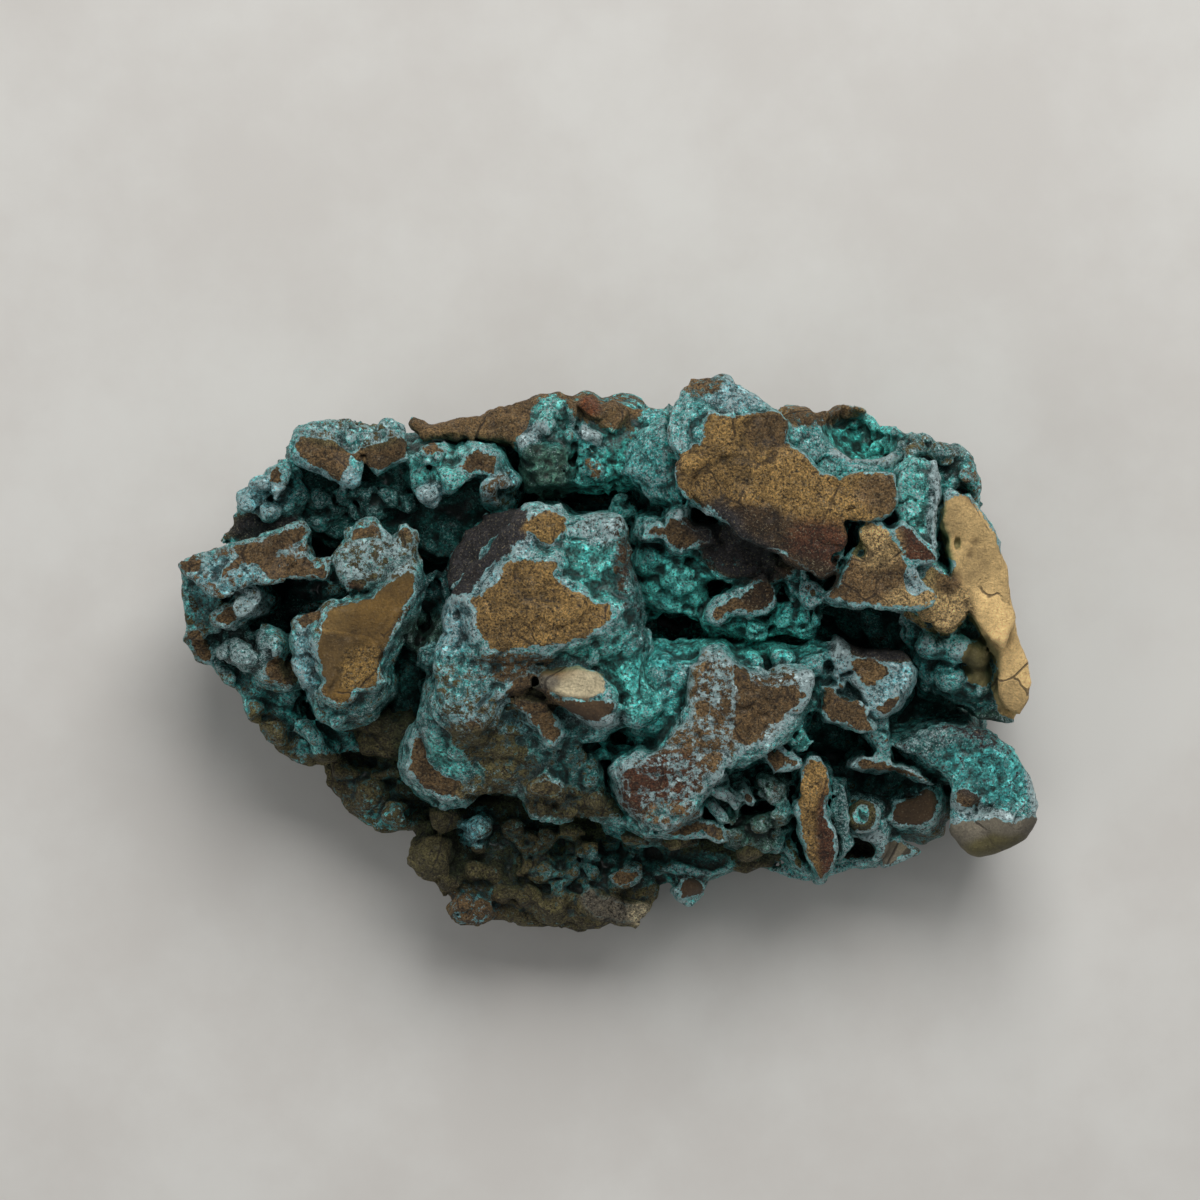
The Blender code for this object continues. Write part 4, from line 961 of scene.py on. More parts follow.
    patches: tuple[Patch, ...] = (
        Patch((-14.4, 5.6), (2.6, 5.6), SKY, turn=-28, dust=0.45, bare=0.03),
        Patch((-1.6, 8.8), (2.2, 4.6), BRIGHT, turn=30, dust=0.2, bare=0.02),
        Patch((-1, 13), (2.4, 1.4), TURQUOISE, DARK, dust=0.65, bare=0.4),
        Patch((1.6, 8.2), (1.2, 4.4), TEAL, DARK, turn=8, dust=0.15, bare=0.62),
        Patch((-9.4, 12.4), (2, 1.8), SKY, turn=40, dust=0.5, bare=0.05),
        Patch((2.4, 4), (1, 5), TEAL, CHARCOAL, turn=5, dust=0.15, bare=0.35),
        Patch((-9.2, -0.8), (5.5, 1.5), FROST, BROWN, dust=0.4, bare=0.62),
        Patch((-1.6, 1.6), (3.4, 1), BRIGHT, turn=20, dust=0.3, bare=0),
        Patch((2, -2.6), (2.4, 3.8), BRIGHT, turn=25, dust=0.12, bare=0),
        Patch((-15.4, -2.6), (3.2, 3.4), TURQUOISE, dust=0.4, bare=0.45),
        Patch((-12, -6), (4, 2.6), SKY, dust=0.45, bare=0.5),
        Patch((-6.4, -2.2), (1.4, 0.8), stone=GREY, above=30),
        Patch((-11, -9.6), (5.4, 2.4), MOSS, OLIVE, turn=-28, dust=0.3, bare=0.66),
        Patch((-4, -10.4), (3.6, 2.2), TEAL, dust=0.12, bare=0.4),
        Patch((-3.6, -14.4), (5.5, 1.6), MOSS, OLIVE, dust=0.2, bare=0.65),
        Patch((-12.4, -13), (3, 1.4), MOSS, OLIVE, bare=0.6),
        Patch((-16.6, -9.6), (2.4, 1.4), BRIGHT, turn=-52, dust=0.3, cover=1.2),
        Patch((1.2, -8.6), (3.6, 1.8), TURQUOISE, dust=0.05, bare=0, below=24.5),
        Patch((-2.2, -5.9), (3.6, 0.7), FROST, dust=0.5, bare=0.1),
    )
    skin: Skin = Skin(bead_size=1.3, bead=0.42, crust=TURQUOISE, bare=0.2, dust=0.35)


@dataclass
class SouthBlock(Cluster):
    """The mottled block south-east of the middle, its small neighbours and the beaded saddle behind it."""

    name: str = "south_block"
    slabs: tuple[Slab, ...] = (
        Slab((18.4,-1.2, 19.1,-2, 19.5,-3.2, 19.4,-4.2, 18.4,-6.2, 14.8,-9.2, 12.3,-10.5, 9.3,-12.5, 8,-15,
            5.3,-16.6, 3.8,-16.8, 2.8,-16.2, 0.8,-13, 0.6,-11.6, 1.4,-10.3, 2.8,-9.6, 4.4,-9.5, 5.9,-7.5,
            7.5,-4.5, 7.8,-0.6, 9.2,0.4, 10.6,0.5, 12.3,-0.8, 15.3,-2.2, 17.3,-1.2), 31.4, (0.06, 0.2),
            edge=1.1, flare=0.12, foot=10),
        # beaded saddle
        Slab((22,0.6, 21.6,-1.4, 19.8,-2.8, 18,-1.6, 9,0, 7.8,-2.4, 6.8,-6, 4.6,-9.2, 2.6,-8.2, 3.4,-4.8,
            2.6,-1.6, 3,1.2, 17,1.8, 20.4,1.4), 25.4, (0.05, 0), edge=1.8, flare=0.15, foot=10),
        # brown flake below
        Slab((4.8,-16.6, 8.8,-16, 10.8,-16.2, 11.6,-17, 11.9,-18.2, 10.3,-18.1, 8.8,-17.6, 5,-17.4), 22,
            edge=0.4, flare=0.05, foot=10, face=BROWN, inset=0.35),
        Slab((-1,-16, 9,-17.8, 8.6,-19, 3,-18.8, -0.6,-17.6), 17, edge=1.2, foot=8),
        # lozenge
        Slab((18.5,-10.8, 16.3,-11.4, 14.9,-9.7, 15.3,-8.9, 16.5,-8.4, 18.5,-10.1), 27, edge=0.4, foot=12,
            face=BROWN, inset=0.35),
        # grey lump under it
        Slab((14.3,-11.6, 15.4,-11.2, 17,-11.6, 17.9,-12.6, 17.6,-14, 16,-14.4, 14.6,-13.4), 24.4, edge=1.5,
            foot=10),
        # curled rim
        Slab((12.8,-12.2, 13.8,-12.8, 14.4,-13.5, 14.3,-14.4, 13.3,-14.2, 12.4,-13.2), 25.2, edge=0.4,
            foot=12, face=DARK, inset=0.4),
        Slab((9.8,-12.6, 11.6,-12, 12.8,-13.6, 13.6,-15.2, 12.4,-16.6, 10.2,-15.8, 9,-14.4), 23.4, edge=1.2),
        Slab((11,-15.4, 16.8,-14.8, 18,-17, 17,-19.4, 14,-20, 11.6,-18.8), 19.6, (0, 0.2), edge=1.8,
            flare=0.1, foot=7),
        # long spindle
        Slab((19.6,-9.7, 20.8,-9.9, 21.7,-11, 22,-13, 21.7,-14, 21.8,-16, 22.4,-17.5, 22.6,-19.5, 22.3,-21.2,
            21.4,-22.4, 20.6,-22.4, 18.8,-17.8, 18.1,-14, 18.4,-11.5, 18.8,-10.5), 25, (0.05, 0.26),
            flare=0.04, face=GOLDEN, inset=0.35),
        Slab((17.6,-17, 20,-20.2, 20.4,-21.6, 19.4,-22.2, 18.2,-21, 17.1,-19), 17.4, edge=0.6, foot=8,
            face=OLIVE, inset=0.5),
        # broken block and pale crag beyond the spindle
        Slab((20.8,-2.3, 21.8,-2.5, 22.8,-3.4, 23.8,-3.7, 25,-3.7, 25.6,-4.5, 25.3,-5.5, 26,-7.2, 25,-7.5,
            23.8,-6.8, 21.6,-6.2, 20.8,-5.5, 20.5,-4), 28.6, (0, 0.1), edge=0.4, flare=0, foot=10, face=BROWN,
            inset=0.3),
        Slab((22,-1, 22.6,-1.1, 23.2,-2.5, 22.9,-3.1, 22.2,-2.6), 28.8, edge=0.3, foot=12, face=BROWN,
            inset=0.25),
        Slab((22.6,2, 23.3,1.2, 24.3,0.8, 27.8,0.7, 29.3,-0.4, 30,-2, 28.6,-4.3, 27.3,-5.2, 25.8,-5.2,
            24.8,-3.2, 22.6,-0.8, 21.8,0.5), 27.8, (0.05, 0.1), edge=0.8, foot=10),
        # wall plates right of the spindle
        Slab((22.2,-12, 23.4,-12.2, 24,-15, 24.2,-18.6, 23.2,-20.6, 22,-15), 19.6, (0, 0.2), edge=0.6,
            foot=8),
    )
    domes: tuple[Dome, ...] = lumps(
        (19.3, -1.7, 31.4, 0.9, 0.8, 1.4), (18.8, -8, 24.4, 1.3, 1.2, 3), (13.8, -0.4, 25.6, 1.7, 1.4, 2.6),
        (16.8, 0.4, 25.2, 1.5, 1.3, 2.6), (20.2, -0.4, 25.4, 1.3, 1.2, 2.4), (21.4, 0.4, 24.4, 1.2, 1.1, 2.4),
        (10.6, 1, 24.6, 1.4, 1.2, 2.6), (4.4, -1, 26, 1.8, 1.6, 2.8), (5.6, -4, 25.8, 1.9, 1.8, 2.8),
        (4.4, -6.2, 24.6, 1.5, 1.6, 2.8), (6.8, -1.6, 26, 1.4, 1.6, 2.6), (7.2, -17.8, 15.2, 1.4, 1.1, 2.6),
        (3.6, -17.8, 16.4, 1.2, 1, 2.4), (12.4, -17.4, 19.6, 1.4, 1.2, 2.6), (15, -16.4, 20.4, 1.6, 1.3, 2.6),
        (16.8, -15.4, 20.8, 1.3, 1.4, 2.6), (15.6, -18.6, 17.4, 1.6, 1.2, 2.6),
        (11.2, -13.6, 24.2, 1.1, 0.9, 1.8),
    )
    hollows: tuple[Dome, ...] = lumps(
        (19.8, -5.6, 28, 0.5, 2.4, 9, -8), (23.6, -1.4, 28.2, 0.4, 0.4, 2), (18.3, -12.6, 24, 0.6, 1.6, 6),
        (12.4, -11.4, 26, 1.6, 0.5, 4, -35), (11.4, -14.8, 24.4, 1.2, 0.4, 3, -50),
        (14.8, -15, 21.6, 1.4, 0.4, 3), (10.6, -11, 29.4, 0.5, 0.4, 1.4),
    )
    faces: tuple[Face, ...] = (
        Face((18.3,-2, 19.3,-3.5, 18.8,-4.8, 15.8,-6.5, 14.8,-8, 13.3,-8.8, 11.8,-8.5, 12,-0.8, 13.3,-1.2,
            14.3,-2.2, 15.8,-2.6), BROWN, 2.4),
        Face((7.9,-4, 9,-3.8, 9.8,-4.6, 9.4,-5.8, 8.2,-5.6), GOLDEN, 2.6),
        Face((23.8,0, 26.3,0.1, 27.5,-0.8, 27.8,-1.5, 26.6,-2.4, 25.3,-2.6, 24.5,-1.6), BROWN, 2.6),
        Face((26.4,-4.5, 27.8,-3.7, 29.1,-3.4, 28.4,-4.6, 27,-5.2), BROWN, 2.6),
        Face((1,-11.5, 2,-10.8, 3.3,-10.8, 4.3,-11.5, 5.6,-11, 6,-12, 5,-13, 3.3,-13, 2,-12.8), RED, 3),
    )
    patches: tuple[Patch, ...] = (
        Patch((10, -3), (2.6, 3.6), BRIGHT, BROWN, turn=15, dust=0.85, bare=0.55, above=27),
        Patch((14, -5), (5.6, 2.8), FROST, BROWN, turn=35, cover=0.3, dust=0.9, bare=0.6, above=27),
        Patch((8.6, -9), (4.6, 3), FROST, BROWN, turn=45, dust=0.85, bare=0.6, above=22),
        Patch((4.6, -12.6), (4.4, 3), TURQUOISE, RED, turn=20, dust=0.75, bare=0.55, above=22),
        Patch((4, -11.6), (2, 1), turn=15, cover=0.35),
        Patch((6.2, -15.6), (3.4, 1.2), TURQUOISE, BROWN, turn=-12, dust=0.5, bare=0.5),
        Patch((19.2, -1.8), (0.9, 0.9), FROST, dust=0.95, cover=2, bare=0),
        Patch((26, -1.6), (4.4, 3.6), SKY, dust=0.45, bare=0.12),
        Patch((27, 0.9), (3.6, 1), TEAL, CHARCOAL, turn=-8, bare=0.85, dust=0.25),
        Patch((22.8, 1.2), (1, 1), FROST, dust=0.8, bare=0),
        Patch((8, -0.2), (1.6, 1.2), FROST, dust=0.75, above=27),
        Patch((10, 1.4), (9, 1.6), BRIGHT, dust=0.04, bare=0, below=28.5),
        Patch((5, -3.6), (2.8, 5), TURQUOISE, turn=-12, dust=0.08, bare=0.1, below=28.5),
        Patch((20.8, -12.6), (1.6, 3.4), stone=GOLDEN, above=20),
        Patch((21.6, -18), (1, 5), turn=5, stone=RED, above=19),
        Patch((11.6, -13.2), (2.2, 2), BRIGHT, dust=0.6, bare=0.1),
        Patch((16.2, -12.8), (1.8, 1.6), MOSS, GREY, dust=0.3, bare=0.35),
        Patch((14.4, -17.2), (3.4, 2.6), MOSS, OLIVE, dust=0.15, bare=0.35),
        Patch((7, -17.6), (4.4, 1.4), MOSS, BROWN, turn=-8, dust=0.2, bare=0.5, below=21),
        Patch((18.8, -8), (1.3, 1.2), BRIGHT, dust=0.2, bare=0),
        Patch((23.2, -16), (0.9, 4), TEAL, dust=0.3, bare=0.1),
        Patch((18.8, -19.6), (1.6, 2.6), TURQUOISE, turn=30, dust=0.2, bare=0.1),
    )
    skin: Skin = Skin(grain=0.34, bead_size=1.5, bead=0.5, crust=TURQUOISE, bare=0.18, dust=0.3)


@dataclass
class NorthWall(Cluster):
    """The brown wall along the north edge and the draped turquoise lumps that hang from it."""

    name: str = "north_wall"
    slabs: tuple[Slab, ...] = (
        Slab((-20.6,23.4, -20,24, -19,23.7, -17.2,23.8, -14.2,24.8, -10.7,25.3, -7.7,26.4, -5.2,26.7,
            -3.2,26.6, -1.2,25.3, -0.2,25.6, 2.8,25.2, 4.8,25.5, 6,24.8, 5.4,21.8, 2,20, -2,20.6, -6,20.4,
            -9.7,21.8, -14.2,21.6, -17.2,22, -19.6,22), 23.6, (0, -0.35), edge=1.2, flare=-0.05),
        Slab((-3.5,25.4, -2.7,26.1, -1.4,25.3, 0,25.7, 1.8,25.2, 2,24, 0.8,22.9, 0,21.6, -2.8,24.2), 24.6,
            (0, -0.2), flare=0.1, foot=12),
    )
    domes: tuple[Dome, ...] = lumps(
        (-6.4, 19.2, 20.4, 3, 3.9, 5.4, 12, 0.4), (-8.4, 21.4, 22.6, 1.3, 1.5, 3),
        (-1.6, 19.4, 20.8, 2.6, 3.4, 5.2, -10, 0.4), (1.6, 19.8, 20.6, 2.2, 3, 4.8, -14, 0.4),
        (-3.2, 22.4, 23.6, 1.5, 1.9, 2.8, 24, 0.4), (-6.4, 23.8, 24.2, 0.9, 1.6, 2.2, -35, 0.3),
        (-4, 24.6, 24.4, 0.8, 1.7, 2.2, 20, 0.3), (-1.6, 22.4, 24, 1.3, 1, 2, -30, 0.3),
        (3.6, 21.4, 22.6, 1.4, 1.6, 3, -20, 0.4),
    )
    hollows: tuple[Dome, ...] = lumps(
        (-5.2, 24.6, 26, 0.7, 1.3, 2.6, 8), (-3.9, 20.4, 25.8, 0.5, 2.6, 2.6, -10),
    )
    faces: tuple[Face, ...] = ()
    patches: tuple[Patch, ...] = (
        Patch((-12, 23.6), (8.5, 2.2), MOSS, BROWN, turn=10, bare=0.96, dust=0.1),
        Patch((0.6, 24), (2.8, 2.2), bare=0.95, stone=BROWN, above=22),
        Patch((-2.2, 25.4), (0.9, 1.1), stone=RUST, bare=1),
        Patch((-6.6, 19), (3, 3.8), MOSS, turn=12, bare=0, dust=0.02),
        Patch((-0.6, 19.4), (3.4, 3.4), BRIGHT, bare=0, dust=0.08, below=25),
        Patch((-6, 24), (2, 2.2), BRIGHT, bare=0, dust=0.35),
        Patch((-8, 22.6), (1.6, 0.7), SKY, turn=30, bare=0, dust=0.7),
        Patch((-2.4, 22.4), (2, 0.7), SKY, turn=-38, bare=0, dust=0.85, above=23.6),
        Patch((4.2, 22), (2.4, 2.8), TURQUOISE, bare=0.15, dust=0.3),
    )
    skin: Skin = Skin(grain=0.42, grain_size=2.0, bead=0.25, bead_size=1.3, stone=BROWN, bare=0.5, dust=0.1)


@dataclass
class NorthEastPlateau(Cluster):
    """The highest block: a golden broken plateau over turquoise botryoids and a charcoal wall."""

    name: str = "north_east_plateau"
    slabs: tuple[Slab, ...] = (
        Slab((27.6,14.4, 24,13.4, 22.4,9, 21,8.2, 18.9,8.9, 16.4,10.8, 12.4,12, 11.2,13.8, 7,16, 6,17, 5.7,19,
            6,20.4, 7.2,21.4, 9,21.9, 9.5,24.7, 12.8,24.4, 16.4,24.7, 17.5,23.9, 17.3,21.6, 20.8,18.9,
            22.4,18.5, 27.8,18.6, 28.4,17, 28.1,15.4), 37, (0.02, 0.07), flare=-0.02, foot=11, face=GOLDEN,
            inset=0.22),
        # crown of crust along the north-west edge
        Slab((16.8,24.6, 15.4,22.8, 12.6,22.4, 11,21.4, 9.8,19.8, 8.2,18.8, 6.4,18.6, 5.4,21.6, 5.6,24.8,
            6.8,26.8, 8,27.9, 9.6,28.1, 11.4,28, 12.4,27.1, 14.4,26.3), 36.2, (0.08, -0.4), edge=1.5,
            flare=-0.05, foot=12),
        # turquoise flank on the west
        Slab((3,23.2, 5.4,23.8, 6.4,21.4, 7.2,15.6, 6.2,15, 4.4,15.8, 1,18.4, 1.4,21.8), 28.4, (0.55, 0),
            edge=1.8, flare=0.08, foot=11),
        # tan facets on the south-east
        Slab((24.4,13.2, 25.6,13.9, 26.6,13.5, 28,12.2, 28.6,11, 28.6,10.2, 30,7.9, 31.6,6.9, 32.2,5.9,
            31.6,5, 24.2,5.7, 22,5.7, 21.2,6.2, 22.4,7.6, 24,11.4), 34.8, (0.03, 0.16), edge=0.4, flare=0.03,
            foot=13, face=BROWN, inset=0.25),
        # red facet
        Slab((27.8,12.6, 28.8,13.6, 29.9,13.1, 31.8,10.8, 31.8,9.6, 30.4,9.4, 29.2,9.7, 28.4,10.8), 35.2,
            (-0.1, 0.1), edge=0.3, flare=0.05, foot=14, face=RED, inset=0.25),
        # turquoise wall east of the plateau
        Slab((29.2,20.4, 31,20.2, 32.2,18.6, 32.3,14, 32,10.8, 30.6,11.8, 28,14.8, 27.8,19), 33, (-0.12, 0),
            edge=0.9, flare=0.05, foot=12),
        Slab((32.2,20, 32.3,11.4, 31.8,11.2, 31.6,20), 33.6, edge=0.25, foot=20),
        # charcoal root under the front edge
        Slab((8.6,12.4, 11,13.6, 15,11.8, 19,9.4, 21.6,8.6, 20.4,6.6, 17,6.8, 14,8, 10.4,8.4, 8.6,10), 29.6,
            (0.02, 0.25), edge=1, foot=10),
        # plates at the foot of the west end
        Slab((3,12.2, 3,13.4, 4.4,13.7, 5.4,13.4, 5.8,14.6, 6.6,15.2, 7.4,15, 7.6,13.9, 8.2,13.3, 9.4,13.3,
            10.2,12.9, 10.2,11.6, 7.6,11, 6.8,10.4, 5.9,10.8, 5.2,11.8), 31.4, (0.05, 0.1), edge=0.4,
            flare=0.12, foot=13, face=BROWN, inset=0.45),
        # hanging wedge
        Slab((16.3,7, 16.1,5.5, 15.3,4.8, 13.8,4.6, 12.3,4.9, 11.4,4.5, 10.6,3.7, 9.8,4, 9.5,4.8, 10.4,5.8,
            13.3,7.2, 15,8.3, 15.7,8), 29.8, (0, 0.2), edge=0.35, flare=0.12, foot=14, face=BROWN,
            inset=0.35),
        # triangle of crust
        Slab((18.8,8.8, 20,8, 21.1,6.8, 20.6,5.8, 19.6,5.3, 18.6,6.2), 31.2, edge=0.4, flare=0.1, foot=16,
            face=OLIVE, inset=0.8),
    )
    domes: tuple[Dome, ...] = lumps(
        (3.8, 10, 24.6, 1.9, 1.8, 3.2), (6.8, 8.2, 24.2, 2.3, 2.2, 3.8), (5.8, 5.8, 22.2, 1.9, 1.7, 3.4),
        (8.2, 6.8, 23, 1.6, 1.6, 3), (7.6, 4.8, 21.2, 1.5, 1.4, 3), (4.2, 7, 23, 1.7, 1.6, 3),
        (9.2, 9, 24.6, 1.5, 1.3, 2.6), (5.6, 9.8, 25, 1.4, 1.3, 2.6), (3.4, 4.4, 19.6, 1.4, 1.4, 3),
        (17.4, 9, 28, 1.5, 1.3, 2.8), (18.3, 7, 26, 1.5, 1.3, 3), (18.8, 5.2, 24, 1.4, 1.2, 3),
        (17.6, 5, 24.4, 1.3, 1.3, 3), (14.3, 3.2, 24.2, 1.9, 1.6, 3.6), (16.8, 3.8, 24.4, 1.4, 1.3, 3),
        (12.3, 3.4, 24, 1.4, 1.3, 3), (18.8, 3.2, 24, 1.5, 1.2, 3), (20, 4.4, 25, 1.3, 1.2, 3),
        (10.2, 3.4, 23, 1.4, 1.2, 3), (3.9, 16.9, 25.2, 1.2, 1, 2.4), (1.2, 15.2, 20.4, 1.5, 1.6, 4),
    )
    hollows: tuple[Dome, ...] = lumps(
        (24, 12, 35.4, 0.35, 1.4, 4, 25), (22.2, 10, 35.2, 0.6, 0.5, 3, 40), (17, 7, 30, 0.5, 1, 5),
        (26, 4, 23, 6, 1.7, 7, -6),
    )
    faces: tuple[Face, ...] = (
    )
    patches: tuple[Patch, ...] = (
        Patch((15.4, 12.8), (5.6, 2.2), turn=-22, stone=DARK, above=31),
        Patch((20.6, 11), (3, 2.8), turn=0, stone=RED, above=31),
        Patch((26.6, 16.6), (2.4, 1.8), stone=BROWN, above=31),
        Patch((15.6, 22.6), (2.2, 1.8), stone=BROWN, above=31),
        Patch((10.4, 13.8), (2.6, 1.6), turn=-20, stone=CHARCOAL, above=31),
        Patch((26.2, 11.6), (2.4, 2.2), turn=40, stone=TAN, above=31),
        Patch((29.9, 7.9), (1.5, 1.2), SKY, turn=35, dust=0.6, bare=0.3, cover=1.7),
        Patch((30, 6), (3, 1.3), stone=TAN),
        Patch((11, 26.6), (4.4, 1.5), SKY, turn=-14, dust=0.5, bare=0.08),
        Patch((8.2, 27.2), (2.8, 1.2), TEAL, BROWN, turn=10, dust=0.3, bare=0.6),
        Patch((6.4, 24), (1.6, 2.8), TURQUOISE, dust=0.4, bare=0.25),
        Patch((3.8, 19.2), (2.4, 4), TURQUOISE, CHARCOAL, dust=0.3, bare=0.2),
        Patch((8.2, 14.2), (1.6, 0.9), FROST, turn=-10, dust=0.7, cover=1.4),
        Patch((6.4, 12.4), (3.4, 2), stone=BROWN),
        Patch((7, 7.6), (4.2, 3.2), BRIGHT, dust=0.05, bare=0, below=29),
        Patch((13.2, 9.8), (4.6, 1.8), TEAL, CHARCOAL, turn=-15, bare=0.75, dust=0.25, below=32),
        Patch((12.2, 11.6), (5.2, 1.5), TEAL, CHARCOAL, turn=-24, bare=0.85, dust=0.4),
        Patch((19.6, 8.6), (3.4, 1.5), turn=-14, stone=DARK, bare=0.8),
        Patch((14.6, 6.4), (1.8, 1.4), stone=DARK, above=27),
        Patch((19.4, 7), (2.4, 2.4), TURQUOISE, dust=0.3, bare=0.05, below=31.5),
        Patch((14.4, 3.4), (6.8, 2.3), BRIGHT, dust=0, bare=0, below=28.5),
        Patch((30, 16.4), (2.2, 4.2), BRIGHT, dust=0.3, bare=0.1),
        Patch((31.9, 16), (0.6, 4.4), FROST, dust=0.7, bare=0),
        Patch((27, 4.6), (6, 0.9), MOSS, dust=0.3, bare=0.1, below=32),
    )
    skin: Skin = Skin(grain=0.34, bead=0.5, bead_size=1.7, crust=TURQUOISE, bare=0.12, dust=0.25)


@dataclass
class EastSlab(Cluster):
    """The smooth tan slab along the east edge, the crusted corner above it and the wall inside it."""

    name: str = "east_slab"
    slabs: tuple[Slab, ...] = (
        # tan slab, upper length
        Slab((33.3,17, 35.7,16.7, 37.9,13.6, 38.5,12.4, 40.1,4.2, 39,1, 36.9,2.7, 34,7, 32.4,14, 32.4,16.4),
            30.8, (-0.16, 0.1), edge=0.8, flare=-0.03, foot=11),
        # its lower lobes
        Slab((38.3,5.6, 39.9,5, 40.3,2.9, 40.9,1.2, 41.8,-0.2, 42.3,-2, 42.1,-3.8, 41.2,-5.6, 39.4,-5.2,
            38.6,-3.4, 38.4,0.2, 37,2.4, 36.4,3.8), 26.4, (0, 0.38), flare=-0.05),
        # tan skirt
        Slab((30,10.2, 31.8,9.8, 33.3,8.9, 34.5,7.6, 35.3,6.2, 35.6,4.8, 35,3.4, 33.8,2.8, 32.4,2.6, 30.8,3.6,
            29.6,5, 29.4,7.4), 31.6, (-0.25, 0.25), edge=0.9, flare=0.04, foot=12),
        # wall of crust south of the skirt
        Slab((29,4.2, 32,4, 35.4,4.6, 37.8,2.4, 39,0.6, 39.2,-1.6, 39.7,-3.6, 39.5,-5.3, 37,-5.4, 33.8,-3.8,
            31.6,-3.2, 30.2,-0.6, 29.2,2), 22.2, (0.1, 0.42), edge=1, flare=0.05),
        # green leaf at the lower end
        Slab((36.3,-5.2, 37.8,-5, 40.8,-5.4, 40.2,-6.2, 36.4,-5.9), 20.2, edge=0.25, flare=0, foot=11),
        # corner over the slab
        Slab((27.6,23.4, 29.3,22.6, 33.8,22, 35.3,21.2, 36.2,20.2, 37,17.4, 36.4,15.8, 34.6,16.6, 32.8,16.4,
            29,18.6, 27.2,20.4), 28.4, (0.05, -0.3), edge=1.5, flare=-0.02, foot=10),
        # wall round the north-east hollow
        Slab((28,18.8, 26,17.8, 22.4,17.8, 20.2,19.4, 20.2,23.4, 21.4,24.8, 22.8,25.8, 24.8,25.3, 28,22.8,
            28.2,21.4), 28.2, (0, -0.15), edge=0.9, flare=-0.02, foot=10),
        Slab((16,24.6, 17.3,25.5, 19.3,25.4, 20.3,25, 21.6,25.2, 21.4,21, 20.2,19.8, 18.4,20.6, 17,22), 28.8,
            (-0.1, -0.3), edge=1.2, flare=-0.03, foot=10),
    )
    domes: tuple[Dome, ...] = lumps(
        (32.8, 20.5, 28.4, 2, 1.5, 2.6, -20), (30.2, 20.6, 28, 1.5, 1.2, 2.6),
        (35.2, 18.6, 27.8, 1.2, 1.6, 2.4), (30.8, 22, 26, 1.4, 0.9, 2.4), (34.4, 1.2, 24.6, 1.8, 1.4, 2.8),
        (32, 1.6, 24, 1.5, 1.4, 3), (36.6, 0.6, 23.4, 1.4, 1.6, 2.8), (34, -1.6, 21.6, 1.6, 1.4, 2.8),
        (36.8, -2.2, 21.4, 1.3, 1.8, 2.8), (31.6, 10.6, 28, 1.3, 1.1, 2.4),
    )
    hollows: tuple[Dome, ...] = lumps(
        (24.6, 22.6, 27.2, 3.9, 2.5, 6.6, -22), (32.8, 12, 31, 0.5, 0.5, 3.4), (36, 11.5, 31.6, 0.45, 0.5, 1),
        (35.6, 10.5, 31.4, 0.35, 0.4, 0.9), (34.3, 11.6, 31, 0.3, 0.6, 0.9),
        (31.2, 18, 29.4, 0.6, 1.6, 2.6, 12), (35.6, -5.4, 20, 0.9, 0.6, 6),
    )
    faces: tuple[Face, ...] = (
        Face((34.3,16.5, 35.4,16.2, 37.8,12.8, 40.8,6, 41.8,2.6, 42.6,1.1, 43.8,-0.2, 44,-2, 43.4,-4.2,
            41.6,-6.2, 39.1,-5.6, 38.3,-3.6, 38.1,-2.2, 38.4,-1.2, 38.2,0, 34.4,6.2, 33.5,8.6, 32.6,14,
            32.7,15.9), TAN, 7.5, True),
        Face((31.2,9.4, 32.4,9.2, 33.4,8.7, 35.5,6.3, 35.8,4.8, 34.8,3.2, 32.8,2.4, 30.8,3, 29.2,4.6, 29,6.6,
            30.4,8), TAN, 4),
        Face((35.6,1.8, 37.2,2.2, 38.4,0.8, 38.6,-1, 37.6,-2.6, 36,-2, 35.4,0), OLIVE, 1.2, True),
    )
    patches: tuple[Patch, ...] = (
        Patch((37.2, 7), (1.4, 3), turn=10, stone=TAN), Patch((33.2, 7.8), (1.6, 1.4), turn=20, stone=BROWN),
        Patch((32.6, 9.6), (1.4, 0.7), BRIGHT, cover=1.6),
        Patch((32.2, 20.4), (4.6, 1.8), TEAL, OLIVE, turn=-18, dust=0.3, bare=0.4),
        Patch((35.6, 18), (1.4, 2.2), TURQUOISE, BROWN, dust=0.25, bare=0.4),
        Patch((31, 18.2), (2.2, 1.2), TEAL, dust=0.3, bare=0.1),
        Patch((24.8, 22.4), (3.8, 2.6), BRIGHT, turn=-14, dust=0.05, bare=0, below=26),
        Patch((25.6, 20.2), (3.4, 0.6), FROST, CREAM, turn=-8, dust=0.8, bare=0.3, above=25),
        Patch((20.4, 24.6), (4.6, 1.4), TEAL, BROWN, dust=0.25, bare=0.66),
        Patch((34, 0.4), (4.6, 2.6), TURQUOISE, turn=-12, dust=0.2, bare=0.08, below=26),
        Patch((35, -3.4), (3.6, 1.6), TEAL, dust=0.12, bare=0.2, below=24),
        Patch((38.6, -5.6), (2.6, 0.6), MOSS, dust=0.1, bare=0.1),
    )
    skin: Skin = Skin(grain=0.26, bead=0.5, bead_size=1.6, crust=TURQUOISE, stone=TAN, bare=0.12,
                      dust=0.35)


